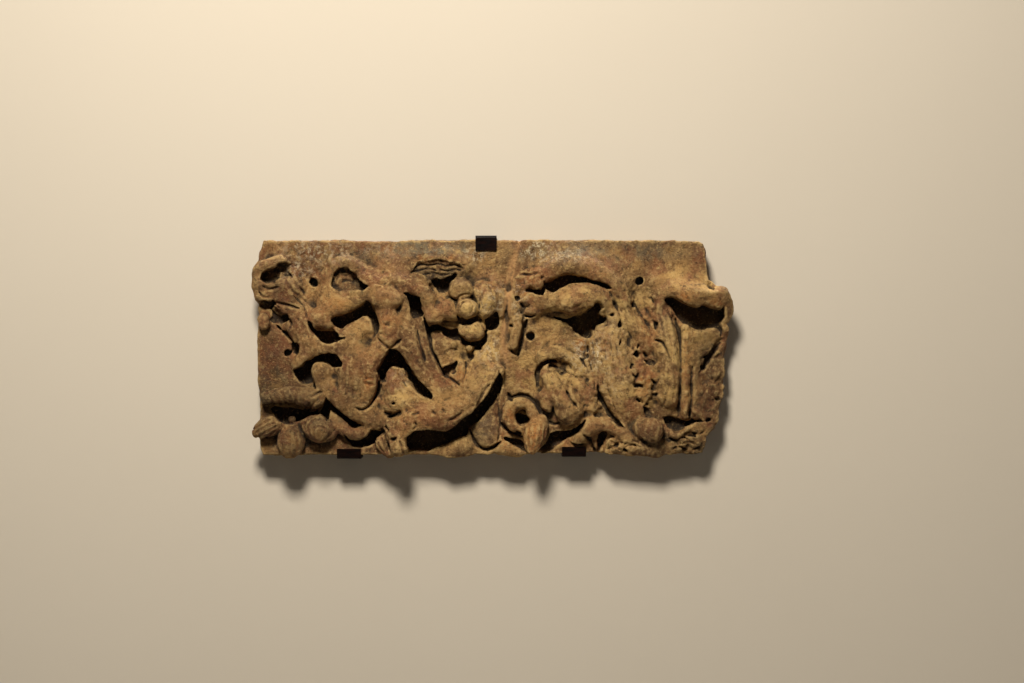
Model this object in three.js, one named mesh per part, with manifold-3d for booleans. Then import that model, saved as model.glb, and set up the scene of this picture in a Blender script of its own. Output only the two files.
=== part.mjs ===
// A terracotta relief plaque: one long low slab of fired clay with a headless figure standing in an
// acanthus scroll, held off its wall by three bent steel clips. Millimetres, +Z up, the relief faces -Y
// and the wall is the plane y = 0. The origin lies on the wall face of the top clip, at its middle.
import * as THREE from 'three';
import { mergeVertices } from 'three/addons/utils/BufferGeometryUtils.js';
import Module from 'manifold-3d';

// Driving dimensions of the slab
const slabLength = 448;
const slabHeight = 216;
const slabThickness = 28;
const reliefHeight = 28;
const brokenEndReach = 24;
const wornEdge = 1.6;
const nailHoleDiameter = 9;
const repairSeamWidth = 4.5;
const repairSeamDepth = 1.2;

// Driving dimensions of the steel clips
const clipThickness = 2;
const clipLegLength = 26;
const clipBendRadius = 2.5;
const topClipWidth = 21;
const topClipLip = 10;
const topClipSlack = 3;
const topClipFromLeft = 228;
const bottomClipWidth = 24;
const bottomClipLip = 8;
const bottomClips = {
  clip_bottom_left: { fromLeft: 91, rise: 0 },
  clip_bottom_right: { fromLeft: 316, rise: 2 },
};
const fitGap = 0.3;

// Planes and edges that follow from them
const slabBack = clipThickness + fitGap;
const slabFace = slabBack + slabThickness;
const slabTop = (clipLegLength + clipBendRadius - clipThickness) / 2 - topClipSlack;
const slabBottom = slabTop - slabHeight;
const slabLeft = -topClipFromLeft;

// The carving keeps its proportions: it is drawn on a slab of this size and follows the real one.
const drawn = { length: 448, height: 216, relief: 28, brokenEnd: 24 };
const slimBar = 8.5;
const stoutBar = 14.5;
const rowsToAPoint = 1.2;
const breakSlope = { along: 434, down: 122, proud: 6, lean: 0.35 };
const crumbVolume = 1;
const alongScale = slabLength / drawn.length;
const downScale = slabHeight / drawn.height;
const proudScale = reliefHeight / drawn.relief;

const wasm = await Module();
wasm.setup();

const terracotta = new THREE.MeshStandardMaterial({ color: 0x8a6a45, roughness: 0.92, metalness: 0 });
const darkSteel = new THREE.MeshStandardMaterial({ color: 0x1d1714, roughness: 0.35, metalness: 0.6 });

// A place on the drawn slab: how far along from its left edge, down from its top edge, proud of its face.
function place(along, down, proud) {
  return new THREE.Vector3(
    slabLeft + along * alongScale,
    -(slabFace + proud * proudScale),
    slabTop - down * downScale,
  );
}

// A closed three.js geometry as a solid that can be joined and cut.
function solid(geometry) {
  const bare = geometry.clone();
  bare.deleteAttribute('normal');
  bare.deleteAttribute('uv');
  const merged = mergeVertices(bare, 1e-4);
  const corners = merged.index.array;
  const triangles = [];
  for (let i = 0; i < corners.length; i += 3) {
    const [a, b, c] = corners.slice(i, i + 3);
    if (a !== b && b !== c && c !== a) triangles.push(a, b, c);
  }
  return new wasm.Manifold(new wasm.Mesh({
    numProp: 3,
    vertProperties: new Float32Array(merged.attributes.position.array),
    triVerts: new Uint32Array(triangles),
  }));
}

// A named mesh made of a solid's faces.
function meshOf(name, shape, material) {
  const faces = shape.getMesh();
  const geometry = new THREE.BufferGeometry();
  geometry.setAttribute('position', new THREE.BufferAttribute(new Float32Array(faces.vertProperties), 3));
  geometry.setIndex(new THREE.BufferAttribute(new Uint32Array(faces.triVerts), 1));
  geometry.computeVertexNormals();
  const mesh = new THREE.Mesh(geometry, material);
  mesh.name = name;
  return mesh;
}

// A rounded bar of clay laid along a smooth curve through points of [along, down, proud, radius].
// It is a capsule bent along the curve; flatness is its depth off the slab as a share of its half width.
// A slim bar has few sides and a stout one more.
function bar(points, flatness = 1) {
  const stoutest = Math.max(...points.map((point) => point[3]));
  const sides = stoutest < slimBar ? 6 : stoutest < stoutBar ? 8 : 10;
  const line = points.length > 1 ? points : [points[0], [points[0][0] + 0.1, ...points[0].slice(1)]];
  const path = new THREE.CatmullRomCurve3(line.map(([along, down, proud]) => place(along, down, proud)));
  const swell = new THREE.CatmullRomCurve3(line.map((point) => new THREE.Vector3(point[3], 0, 0)));
  const rows = line.length > 2 ? Math.round((line.length - 1) * rowsToAPoint) : 2;
  const capsule = new THREE.CapsuleGeometry(1, 1, sides > 6 ? 2 : 1, sides, rows);
  const position = capsule.attributes.position;
  const outward = new THREE.Vector3(0, -1, 0);
  for (let i = 0; i < position.count; i += 1) {
    const local = new THREE.Vector3().fromBufferAttribute(position, i);
    const share = THREE.MathUtils.clamp(local.y + 0.5, 0, 1);
    const beyond = local.y - THREE.MathUtils.clamp(local.y, -0.5, 0.5);
    const tangent = path.getTangent(share);
    const aside = new THREE.Vector3().crossVectors(tangent, outward).normalize();
    const rise = new THREE.Vector3().crossVectors(aside, tangent).normalize();
    const radius = swell.getPoint(share).x;
    const at = path.getPoint(share);
    at.addScaledVector(tangent, beyond * radius * downScale);
    at.addScaledVector(aside, local.x * radius * downScale);
    at.addScaledVector(rise, local.z * radius * flatness * proudScale);
    position.setXYZ(i, at.x, at.y, at.z);
  }
  return solid(capsule);
}

// The slab: a straight plate whose right end is a ragged break.
function plate() {
  const reach = brokenEndReach / drawn.brokenEnd;
  const foot = drawn.height;
  const breakLine = [
    [442, 2], [446, 6], [448, 25], [450, 41], [456, 45], [464, 49], [470, 56], [475, 66], [473, 80],
    [466, 84], [471, 92], [471, 102], [466, 116], [468, 130], [467, 155], [461, 171], [454, 186],
    [449, 196], [446, foot - 4.5],
  ];
  const outline = new THREE.Shape();
  outline.moveTo(3, -2);
  outline.lineTo(0, -30);
  outline.lineTo(-1, -80);
  outline.lineTo(1, -165);
  outline.lineTo(4, 2 - foot);
  outline.lineTo(296, 3.5 - foot);
  for (const [along, down] of [...breakLine].reverse()) {
    const beyond = Math.max(0, along - drawn.length);
    outline.lineTo(along + beyond * (reach - 1), -down);
  }
  const raw = new THREE.ExtrudeGeometry(outline, {
    depth: slabThickness - 2 * wornEdge,
    bevelThickness: wornEdge,
    bevelSize: wornEdge,
    bevelSegments: 1,
  });
  raw.translate(0, 0, slabBack + wornEdge);
  raw.scale(alongScale, downScale, 1);
  raw.rotateX(Math.PI / 2);
  raw.translate(slabLeft, 0, slabTop);
  return solid(raw);
}

// The broken right end slopes back from the relief to the wall: what is cut away is a block turned by lean.
function brokenSlope({ along, down, proud, lean }) {
  const size = slabHeight;
  const block = new THREE.BoxGeometry(size, size, size);
  block.translate(size / 2, -size / 2, -size / 2);
  block.rotateZ(lean);
  const corner = place(along, down, proud);
  block.translate(corner.x, corner.y, corner.z);
  return solid(block);
}

// The figure: a nude torso broken off at the neck, arms spread, one leg bare, the other under drapery.
const figure = [
  bar([[128, 36, 0, 9], [129, 50, 6, 15], [130, 64, 9, 17], [132, 80, 9, 14], [136, 98, 8, 13]]),
  bar([[116, 52, 6, 10], [100, 58, 6, 10], [80, 67, 6, 9], [62, 78, 7, 10]]),
  bar([[60, 84, 7, 9]]),
  bar([[144, 47, 6, 9], [158, 41, 7, 8], [170, 48, 8, 9], [174, 64, 8, 9]]),
  bar([[144, 98, 5, 14], [156, 118, 6, 14], [169, 136, 6, 13], [182, 154, 5, 11]]),
  bar([[162, 82, 3, 6], [168, 102, 4, 7], [180, 124, 4, 7], [194, 140, 3, 6]]),
  bar([[130, 100, 4, 12], [114, 106, 6, 16], [100, 116, 6, 18], [97, 138, 6, 18], [103, 154, 4, 13]]),
  bar([[113, 124, 6, 9], [113, 142, 6, 8], [106, 158, 5, 7]]),
];

// What broke away behind the figure's shoulders left two rough low scars, one with a raised rim.
const scars = [
  bar([[158, 32, 1, 8], [176, 28, 3, 9], [192, 28, 3, 8], [204, 25, 2, 5]], 0.8),
  bar([[78, 36, 0, 5], [84, 26, 3, 6], [96, 24, 4, 6], [106, 34, 5, 6], [112, 46, 6, 7]]),
];

// The scroll: its stem runs from the leaf at the top left round under the figure and along the bottom.
const scroll = [
  bar([[20, 62, 3, 8], [34, 76, 3, 9], [46, 94, 4, 9], [62, 106, 4, 9], [82, 100, 4, 12]]),
  bar([
    [62, 130, 4, 9], [70, 140, 5, 11], [84, 152, 5, 12], [98, 163, 5, 11], [112, 173, 4, 9], [124, 176, 4, 8],
  ]),
  bar([[70, 172, 2, 4], [80, 180, 4, 6], [92, 188, 5, 6], [104, 192, 6, 7], [116, 184, 6, 7]]),
];

// The leaf at the top left curls past the slab's edge.
const curlLeaf = [
  bar([[4, 44, 6, 6], [4, 33, 8, 8], [13, 24, 9, 8], [27, 25, 7, 7]]),
  bar([[9, 47, 4, 6], [20, 46, 5, 7], [34, 52, 3, 7]]),
  bar([[7, 74, 3, 8], [10, 86, 3, 8]]),
];

// The flower in the bottom left corner: one petal droops over its middle and three spread below it.
const cornerFlower = [
  bar([[11, 160, 7, 8], [26, 156, 11, 10], [46, 157, 11, 11], [64, 158, 8, 9]]),
  bar([[4, 192, 4, 7], [13, 188, 6, 10], [23, 182, 6, 8]]),
  bar([[33, 188, 5, 9], [34, 202, 6, 13], [34, 211, 6, 8]]),
  bar([[50, 184, 5, 8], [62, 188, 6, 14], [74, 192, 4, 8]]),
];

// The rosette beside the figure: a button ringed by four petals, and the edge of a sheath behind it.
const rosette = [
  bar([[209, 68, 12, 11]]),
  bar([[199, 49, 6, 11], [208, 48, 6, 12]]),
  bar([[180, 76, 6, 9], [190, 76, 7, 12]]),
  bar([[224, 52, 6, 10], [228, 64, 6, 11]]),
  bar([[210, 89, 6, 11], [217, 88, 6, 11]]),
  bar([[238, 46, 2, 4], [243, 57, 3, 5], [243, 69, 2, 4]]),
];

// The long tapering body below the figure, like a fish or a bent leaf, with a lobed head.
const longBody = [
  bar([
    [239, 132, 5, 7], [230, 146, 8, 12], [212, 163, 9, 17], [188, 176, 9, 18], [164, 183, 9, 18], [144, 188, 9, 15],
  ]),
  bar([[140, 146, 0, 12], [144, 162, 3, 16], [168, 160, 4, 18], [194, 150, 4, 17], [218, 138, 3, 12]], 0.8),
  bar([[134, 184, 10, 10], [137, 198, 10, 9], [140, 209, 9, 9]]),
  bar([[122, 196, 4, 7], [127, 207, 5, 8]]),
];

// Low plates of leaf between the rosette, the repair seam and the long body.
const middleLeaves = [
  bar([[176, 96, 1, 9], [188, 110, 2, 10], [204, 122, 2, 11], [226, 116, 1, 11]], 0.7),
  bar([[206, 124, 4, 6], [203, 138, 4, 6]]),
  bar([[258, 58, 2, 5], [260, 76, 4, 6], [257, 96, 5, 6], [254, 108, 3, 5]]),
  bar([[268, 56, 4, 7], [277, 62, 4, 8], [276, 74, 3, 6]]),
  bar([[226, 172, 0, 10], [227, 188, 1, 13], [230, 198, 1, 10]], 0.6),
];

// The big acanthus curl at the upper right: an arched rim, the rolled tip broken open in front, and its
// ribbed body.
const acanthus = [
  bar([
    [262, 40, 1, 6], [282, 34, 4, 8], [306, 28, 6, 9], [332, 31, 6, 9], [352, 42, 5, 10], [366, 62, 4, 9],
    [370, 86, 3, 8],
  ]),
  bar([[290, 62, 5, 11], [304, 58, 8, 14], [320, 58, 9, 15], [338, 62, 7, 12], [350, 74, 4, 8]]),
  bar([[300, 96, 0, 12], [322, 102, 1, 12], [336, 124, 3, 12], [340, 150, 3, 11], [352, 172, 2, 9]], 0.7),
  bar([[354, 100, 2, 13], [360, 128, 3, 18], [368, 156, 3, 18], [380, 178, 2, 12]], 0.7),
  bar([[384, 118, 4, 9], [387, 138, 4, 10], [388, 156, 2, 8]], 0.8),
];

// The leaf below it: a folded band with a round end, a ring with a deep eye, and a pointed tip.
const lowerLeaf = [
  bar([[286, 130, 3, 9], [296, 140, 6, 13], [304, 156, 8, 14], [311, 171, 9, 16]]),
  bar([[286, 150, 6, 9], [289, 167, 6, 8]]),
  bar([[252, 182, 2, 7], [254, 168, 3, 7], [266, 162, 4, 7], [277, 170, 4, 7], [274, 184, 4, 6]]),
  bar([[282, 178, 6, 8], [279, 190, 8, 11], [276, 202, 9, 11], [273, 212, 9, 6]]),
  bar([[318, 200, 3, 8], [330, 187, 5, 9], [346, 184, 6, 8], [364, 193, 4, 8], [384, 205, 3, 7]]),
  bar([[387, 190, 5, 12], [396, 194, 6, 15], [399, 203, 5, 12]]),
  bar([[413, 197, 3, 6], [426, 189, 4, 6], [444, 186, 3, 6]]),
];

// The leaf at the right end: its tip rolls forward over a hollow, and its rib runs down to the bottom edge.
const endLeaf = [
  bar([
    [399, 57, 2, 8], [412, 56, 10, 11], [428, 55, 14, 13], [446, 56, 15, 13], [460, 60, 12, 11], [467, 70, 7, 9],
  ]),
  bar([[404, 42, -4, 13], [424, 38, -1, 15], [444, 42, -1, 15], [462, 52, 2, 12]]),
  bar([[398, 74, 1, 9], [404, 92, 3, 12], [411, 114, 4, 13], [412, 140, 4, 13], [411, 160, 2, 10]]),
  bar([[428, 86, 5, 6], [429, 110, 7, 6], [429, 140, 7, 6], [426, 172, 4, 6]]),
  bar([[441, 98, 2, 10], [454, 100, 2, 11], [458, 112, 1, 9]]),
];

// Hollows that stay dark between the forms.
const hollows = [
  bar([[7, 37, 7, 5], [16, 34, 7, 5], [26, 31, 7, 4]]),
  bar([[15, 76, 3, 5], [25, 76, 3, 6]]),
  bar([[36, 103, -1, 5], [39, 110, -1, 5]]),
  bar([[83, 38, 3, 6], [99, 42, 3, 7]]),
  bar([[53, 82, -1, 5], [56, 93, -1, 6], [66, 99, -2, 7], [76, 100, -2, 6]]),
  bar([[112, 66, -1, 4], [117, 80, -1, 4]]),
  bar([[146, 56, -1, 5], [156, 60, -2, 6], [159, 73, -2, 6]]),
  bar([[142, 112, -2, 6], [132, 128, -2, 7]]),
  bar([[148, 118, -2, 5], [160, 138, -2, 6], [168, 150, -2, 6]]),
  bar([[44, 134, -2, 9], [50, 122, -2, 7], [66, 116, -2, 5], [82, 121, -2, 5]]),
  bar([[18, 171, 6, 7], [34, 174, 6, 9], [50, 171, 6, 7]]),
  bar([[173, 42, -1, 5], [186, 44, -1, 6]]),
  bar([[180, 90, -1, 5], [194, 95, -1, 6]]),
  bar([[206, 102, -1, 5], [222, 102, -1, 6]]),
  bar([[231, 80, -1, 5], [236, 84, -1, 6]]),
  bar([[305, 82, 1, 7], [320, 88, -1, 10], [334, 80, 0, 9]]),
  bar([[264, 179, 6, 7]]),
  bar([[344, 196, 2, 5], [345, 204, 1, 5]]),
  bar([[414, 71, 4, 8], [430, 79, 4, 10], [448, 81, 4, 9], [464, 84, 2, 6]]),
  bar([[374, 114, 6, 4], [386, 120, 6, 4]]),
  bar([[405, 177, 0, 5], [416, 183, -2, 8], [427, 180, -1, 5]]),
];

// The slab was broken across and filled: the filling lies in a shallow channel.
const repairLine = [[261, -4], [257, 20], [254, 40], [249, 60], [247, 92], [249, 124]];
const repairSeam = bar(repairLine.map(
  ([along, down]) => [along, down, repairSeamWidth / 2 - repairSeamDepth, repairSeamWidth / 2],
));

// Four nail holes run straight through the slab.
const nailHolePlaces = [[56.5, 41.5], [381, 40.5], [272.5, 96], [29.5, 112]];
const nailHoles = nailHolePlaces.map(([along, down]) => {
  const radius = nailHoleDiameter / 2;
  const drill = new THREE.CylinderGeometry(radius, radius, slabFace + 3 * reliefHeight, 16);
  const mouth = place(along, down, 0);
  drill.translate(mouth.x, -slabFace / 2, mouth.z);
  return solid(drill);
});

// Low forms are pared away where a lower clip's lip lies on the slab's face.
const lipSeats = Object.values(bottomClips).map(({ fromLeft, rise }) => {
  const seat = new THREE.BoxGeometry(bottomClipWidth + 4 * fitGap, 3 * reliefHeight, 2 * bottomClipLip);
  seat.translate(slabLeft + fromLeft, -slabFace - 1.5 * reliefHeight, slabBottom + rise + 2 * fitGap);
  return solid(seat);
});

// Where two cuts graze each other they can leave a sliver of no thickness, which isn't clay and is left out.
function withoutCrumbs(shape) {
  const bodies = shape.decompose().filter((body) => body.volume() > crumbVolume);
  return bodies.reduce((all, body) => all.add(body));
}

function reliefSlab() {
  let clay = plate();
  const forms = [
    figure, scars, scroll, curlLeaf, cornerFlower, rosette,
    longBody, middleLeaves, acanthus, lowerLeaf, endLeaf,
  ];
  for (const form of forms.flat()) clay = clay.add(form);
  clay = clay.subtract(brokenSlope(breakSlope));
  for (const cut of [...hollows, repairSeam, ...nailHoles, ...lipSeats]) clay = clay.subtract(cut);
  return withoutCrumbs(clay);
}

// A clip is a strip bent twice: a leg flat on the wall, a shelf across the slab's edge, a lip over its face.
// Its profile is drawn with the shelf's inner face at 0 and the leg and lip rising from it. For the top it
// is turned over.
function clip(name, { width, lip, fromLeft, shelf, hooksDown = false }) {
  const reach = slabFace + fitGap + clipThickness;
  const outer = clipBendRadius;
  const profile = new THREE.Shape();
  profile.moveTo(0, clipLegLength);
  profile.lineTo(0, -clipThickness + outer);
  profile.absarc(outer, -clipThickness + outer, outer, Math.PI, 1.5 * Math.PI, false);
  profile.lineTo(reach - outer, -clipThickness);
  profile.absarc(reach - outer, -clipThickness + outer, outer, 1.5 * Math.PI, 2 * Math.PI, false);
  profile.lineTo(reach, lip);
  profile.lineTo(reach - clipThickness, lip);
  profile.lineTo(reach - clipThickness, 0);
  profile.lineTo(clipThickness, 0);
  profile.lineTo(clipThickness, clipLegLength);
  profile.closePath();
  const strip = new THREE.ExtrudeGeometry(profile, { depth: width, bevelEnabled: false, curveSegments: 6 });
  strip.translate(0, 0, -width / 2);
  strip.rotateX(Math.PI / 2);
  strip.rotateZ(-Math.PI / 2);
  if (hooksDown) strip.rotateY(Math.PI);
  const mesh = meshOf(name, solid(strip), darkSteel);
  mesh.position.set(slabLeft + fromLeft, 0, shelf);
  return mesh;
}

const group = new THREE.Group();
group.add(meshOf('relief_slab', reliefSlab(), terracotta));
group.add(clip('clip_top', {
  width: topClipWidth,
  lip: topClipLip + topClipSlack,
  fromLeft: topClipFromLeft,
  shelf: slabTop + topClipSlack,
  hooksDown: true,
}));
for (const [name, { fromLeft, rise }] of Object.entries(bottomClips)) {
  group.add(clip(name, {
    width: bottomClipWidth, lip: bottomClipLip, fromLeft, shelf: slabBottom + rise - fitGap,
  }));
}

export default group;
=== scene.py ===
# A hanging terracotta relief plaque: one worn clay slab carved with a headless figure in an acanthus
# scroll, carried by three bent steel clips. Lengths are in metres in the frame of the CAD model. The slab
# itself is worked in millimetres from its top left corner: along, down, and proud of its face.
import math

import bpy
import numpy as np
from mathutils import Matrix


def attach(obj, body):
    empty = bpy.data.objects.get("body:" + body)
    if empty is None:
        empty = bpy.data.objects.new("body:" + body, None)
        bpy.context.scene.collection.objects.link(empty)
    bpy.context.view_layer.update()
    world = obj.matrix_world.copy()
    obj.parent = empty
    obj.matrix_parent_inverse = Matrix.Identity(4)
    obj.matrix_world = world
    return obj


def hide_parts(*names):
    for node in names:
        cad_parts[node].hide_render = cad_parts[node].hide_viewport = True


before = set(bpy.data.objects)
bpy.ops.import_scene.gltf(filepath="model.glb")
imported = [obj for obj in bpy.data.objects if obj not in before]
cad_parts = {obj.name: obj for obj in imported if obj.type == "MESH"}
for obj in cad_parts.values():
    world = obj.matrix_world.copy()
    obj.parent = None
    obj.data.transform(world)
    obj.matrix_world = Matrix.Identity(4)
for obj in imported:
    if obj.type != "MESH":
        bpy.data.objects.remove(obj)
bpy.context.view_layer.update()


# The slab and its relief
# One piece of fired clay, modelled and undercut by hand, worn, pitted and broken. It was broken across, put
# together again and filled with a paler paste. It is worked here as clay is: forms are pressed on, hollows
# scooped out and lines cut, in a block that knows at each point how far it lies from the surface.
SLAB_THICKNESS = 28.0
SLAB_FACE = 30.3
SLAB_LEFT = -228.0
SLAB_TOP = 10.25
CLAY_STEP = 1.0
CLAY_TRIANGLES = 190000
EDGE_WEAR = 2.2

BLOCK_ALONG = (-14.0, 486.0)
BLOCK_DOWN = (-6.0, 226.0)
BLOCK_PROUD = (-31.0, 33.0)

along = np.arange(*BLOCK_ALONG, CLAY_STEP, dtype=np.float32)
down = np.arange(*BLOCK_DOWN, CLAY_STEP, dtype=np.float32)
proud = np.arange(*BLOCK_PROUD, CLAY_STEP, dtype=np.float32)
ALONG = along[:, None]
DOWN = down[None, :]

slab_outline = [
    (5, 0.5), (120, 0), (300, 0), (430, 0), (441, 0.8), (445.5, 3), (447.5, 10), (448, 24), (449, 40),
    (458, 46), (468, 52), (473, 62), (473, 72), (471, 81), (466, 82.5), (470, 88), (471, 98), (470, 104),
    (467, 115), (466, 135), (466, 155), (464, 161), (462, 168), (459, 178), (454, 186), (450, 194),
    (446, 200), (445, 212), (300, 212.5), (150, 214), (5, 214.5), (2, 208), (1, 165), (-0.5, 110),
    (0, 80), (0.5, 50), (1, 12),
]


def soft_lower(a, b, blend):
    """The smaller of two distances, rounded off where they are within a blend's width of each other."""
    share = np.clip(0.5 + 0.5 * (b - a) / blend, 0, 1)
    return b * (1 - share) + a * share - blend * share * (1 - share)


def soft_higher(a, b, blend):
    """The larger of two distances, rounded off in the same way."""
    return -soft_lower(-a, -b, blend)


def outline_distance(corners, x, y):
    """How far each place lies outside a closed outline: the distance to the nearest edge, taken as negative
    where a line from the place crosses the outline an odd number of times."""
    nearest = np.full((x.size, y.size), 1e6, np.float32)
    inside = np.zeros(nearest.shape, bool)
    for (ax, ay), (bx, by) in zip(corners, corners[1:] + corners[:1]):
        ex, ey = bx - ax, by - ay
        share = np.clip(((x - ax) * ex + (y - ay) * ey) / (ex * ex + ey * ey), 0, 1)
        nearest = np.minimum(nearest, np.hypot(x - ax - share * ex, y - ay - share * ey))
        if ay != by:
            crossing = ax + (y - ay) / ey * ex
            inside ^= ((ay > y) != (by > y)) & (x < crossing)
    return np.where(inside, -nearest, nearest)


LUMP_GAIN = 2.2


def spline_rows(places, cell, knots):
    """Weights that spread a coarse row of random numbers smoothly over fine places: a cubic B-spline."""
    at = (places - places[0]) / cell + 0.5
    base = np.floor(at).astype(int)
    t = (at - base)[:, None]
    weights = np.hstack([
        (1 - t) ** 3,
        3 * t ** 3 - 6 * t ** 2 + 4,
        -3 * t ** 3 + 3 * t ** 2 + 3 * t + 1,
        t ** 3,
    ]) / 6
    rows = np.zeros((len(places), knots), np.float32)
    for k in range(4):
        rows[np.arange(len(places)), base + k] = weights[:, k]
    return rows


def lumps(seed, cell):
    """Smooth random lumps through the whole block: seeded random numbers on a coarse grid whose cells are
    cell millimetres wide, spread by B-splines and scaled to about plus or minus 1."""
    chance = np.random.default_rng(seed)
    ways = (along, down, proud)
    knots = [int((line[-1] - line[0]) / cell) + 5 for line in ways]
    grid = chance.uniform(-1, 1, knots).astype(np.float32)
    for axis, (line, count) in enumerate(zip(ways, knots)):
        grid = np.moveaxis(np.tensordot(spline_rows(line, cell, count), grid, axes=(1, axis)), 0, axis)
    return grid * LUMP_GAIN


def patch(*spots):
    """A soft-edged patch on the face: each spot is along, down, half width, half height and strength, and
    counts as strength times a bell of the distance from its middle; the strongest wins."""
    field = np.zeros((len(along), len(down)), np.float32)
    for a, d, half_width, half_height, strength in spots:
        reach = ((ALONG - a) / half_width) ** 2 + ((DOWN - d) / half_height) ** 2
        field = np.maximum(field, strength * np.exp(-reach ** 1.5))
    return field


outside = outline_distance(slab_outline, ALONG, DOWN)
ragged = lumps(3, 9)
toward_break = np.clip((ALONG - 425) / 25, 0, 1)
below_corner = np.clip((DOWN - 30) / 30, 0, 1)
clay = outside[:, :, None] + ragged * (0.35 + (1.5 * toward_break * below_corner)[:, :, None])
through = np.abs(proud + SLAB_THICKNESS / 2)[None, None, :] - SLAB_THICKNESS / 2
clay = soft_higher(clay, through + 0 * clay, EDGE_WEAR)


def smooth_path(points, steps=5):
    """A Catmull-Rom curve through the points, with the same smooth run for the radius."""
    p = np.array(points, np.float32)
    if len(p) == 1:
        return np.vstack([p, p])
    q = np.vstack([2 * p[0] - p[1], p, 2 * p[-1] - p[-2]])
    t = np.linspace(0, 1, steps, endpoint=False)[:, None]
    spans = [
        0.5 * (2 * b + (c - a) * t + (2 * a - 5 * b + 4 * c - d) * t ** 2 + (3 * b - a - 3 * c + d) * t ** 3)
        for a, b, c, d in zip(q[:-3], q[1:-2], q[2:-1], q[3:])
    ]
    return np.vstack([*spans, p[-1:]])


def around(low, high):
    """The part of the block between two corners, as slices."""
    return tuple(
        slice(max(0, int(np.searchsorted(line, a))), min(len(line), int(np.searchsorted(line, b)) + 1))
        for line, a, b in zip((along, down, proud), low, high)
    )


def roll_distance(points, depth, margin):
    """How far each place lies outside a roll of clay along a curve through points of along, down, proud and
    radius: the distance to the nearest place on the curve, less the radius there. A depth below 1 flattens
    the roll."""
    path = smooth_path(points)
    reach = path[:, 3].max() + margin
    room = around(path[:, :3].min(0) - reach, path[:, :3].max(0) + reach)
    corner = [s.start for s in room]
    nearest = np.full([s.stop - s.start for s in room], margin + 4.0, np.float32)
    for a, b in zip(path[:-1], path[1:]):
        here = around(np.minimum(a, b)[:3] - reach, np.maximum(a, b)[:3] + reach)
        x, y, z = along[here[0]][:, None, None], down[here[1]][None, :, None], proud[here[2]][None, None, :]
        step = b - a
        length = float(step[0] ** 2 + step[1] ** 2 + (step[2] / depth) ** 2) + 1e-9
        share = ((x - a[0]) * step[0] + (y - a[1]) * step[1] + (z - a[2]) * step[2] / depth ** 2) / length
        share = np.clip(share, 0, 1)
        off = (x - a[0] - share * step[0]) ** 2 + (y - a[1] - share * step[1]) ** 2
        off = np.sqrt(off + ((z - a[2] - share * step[2]) / depth) ** 2) - a[3] - share * step[3]
        part = tuple(slice(s.start - c, s.stop - c) for s, c in zip(here, corner))
        nearest[part] = np.minimum(nearest[part], off * min(1.0, 0.5 + 0.5 * depth))
    return room, nearest


def press_on(points, depth=1.0, blend=8.0):
    """Adds a roll of clay, smoothed into what is there."""
    room, roll = roll_distance(points, depth, blend + 2)
    clay[room] = soft_lower(roll, clay[room], blend)


def scoop(points, depth=1.0, blend=2.0):
    """Takes a roll-shaped hollow out of the clay, with a rounded rim."""
    room, roll = roll_distance(points, depth, blend + 2)
    clay[room] = soft_higher(clay[room], -roll, blend)


# Painted shade: a pit as deep as this has its floor darkened, fully so from this far inside its outline.
SHADED_FLOOR = -5
SHADED_INSIDE = 3
pit_floor_shade = np.zeros((len(along), len(down)), np.float32)


def pit(floor, corners, blend=1.2):
    """Takes out a steep-sided pit of a drawn outline, down to a floor at this height proud of the face. One
    as deep as the shade floor gets its floor darkened with painted shade, fully so from a little inside its
    outline."""
    low, high = np.min(corners, 0) - blend - 2, np.max(corners, 0) + blend + 2
    room = around((*low, floor - blend - 2), (*high, 99))
    rim = outline_distance(corners, along[room[0]][:, None], down[room[1]][None, :])
    inner = soft_higher(rim[:, :, None], floor - proud[room[2]][None, None, :] + 0 * rim[:, :, None], 3.0)
    clay[room] = soft_higher(clay[room], -inner, blend)
    if floor <= SHADED_FLOOR:
        pit_floor_shade[room[:2]] = np.maximum(pit_floor_shade[room[:2]], np.clip(-rim / SHADED_INSIDE, 0, 1))


def line_distance(points, wide):
    """How far each place on the face lies from a curve through points of along and down. The line runs out
    thin at both ends, so the distance is stretched there."""
    path = smooth_path(points)
    low = np.append(path.min(0) - wide, -99)
    high = np.append(path.max(0) + wide, 99)
    room = around(low, high)[:2]
    x, y = along[room[0]][:, None], down[room[1]][None, :]
    nearest = np.full((x.size, y.size), 99.0, np.float32)
    spans = len(path) - 1
    for k, (a, b) in enumerate(zip(path[:-1], path[1:])):
        step = b - a
        share = np.clip(((x - a[0]) * step[0] + (y - a[1]) * step[1]) / (float(step @ step) + 1e-9), 0, 1)
        run = (k + share) / spans
        taper = 0.35 + 0.65 * np.clip(np.minimum(run, 1 - run) * 6, 0, 1)
        off = np.hypot(x - a[0] - share * step[0], y - a[1] - share * step[1])
        nearest = np.minimum(nearest, off / taper)
    return room, nearest


def cut(points, width=1.5, deep=2.0, through=False):
    """Cuts a line into the surface, or raises one where deep is negative: a bell-shaped furrow. It fades out
    from 10 to 20 mm below the face and so leaves the back alone, unless it goes through."""
    room, off = line_distance(points, 3 * abs(width))
    reach = np.clip((proud + 20) / 10, float(through), 1)
    clay[room] += (deep * np.exp(-((off / width) ** 2)))[:, :, None] * reach


def cuts(lines, width=1.2, deep=1.2):
    """Several lines of one kind."""
    for points in lines:
        cut(points, width, deep)


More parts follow.
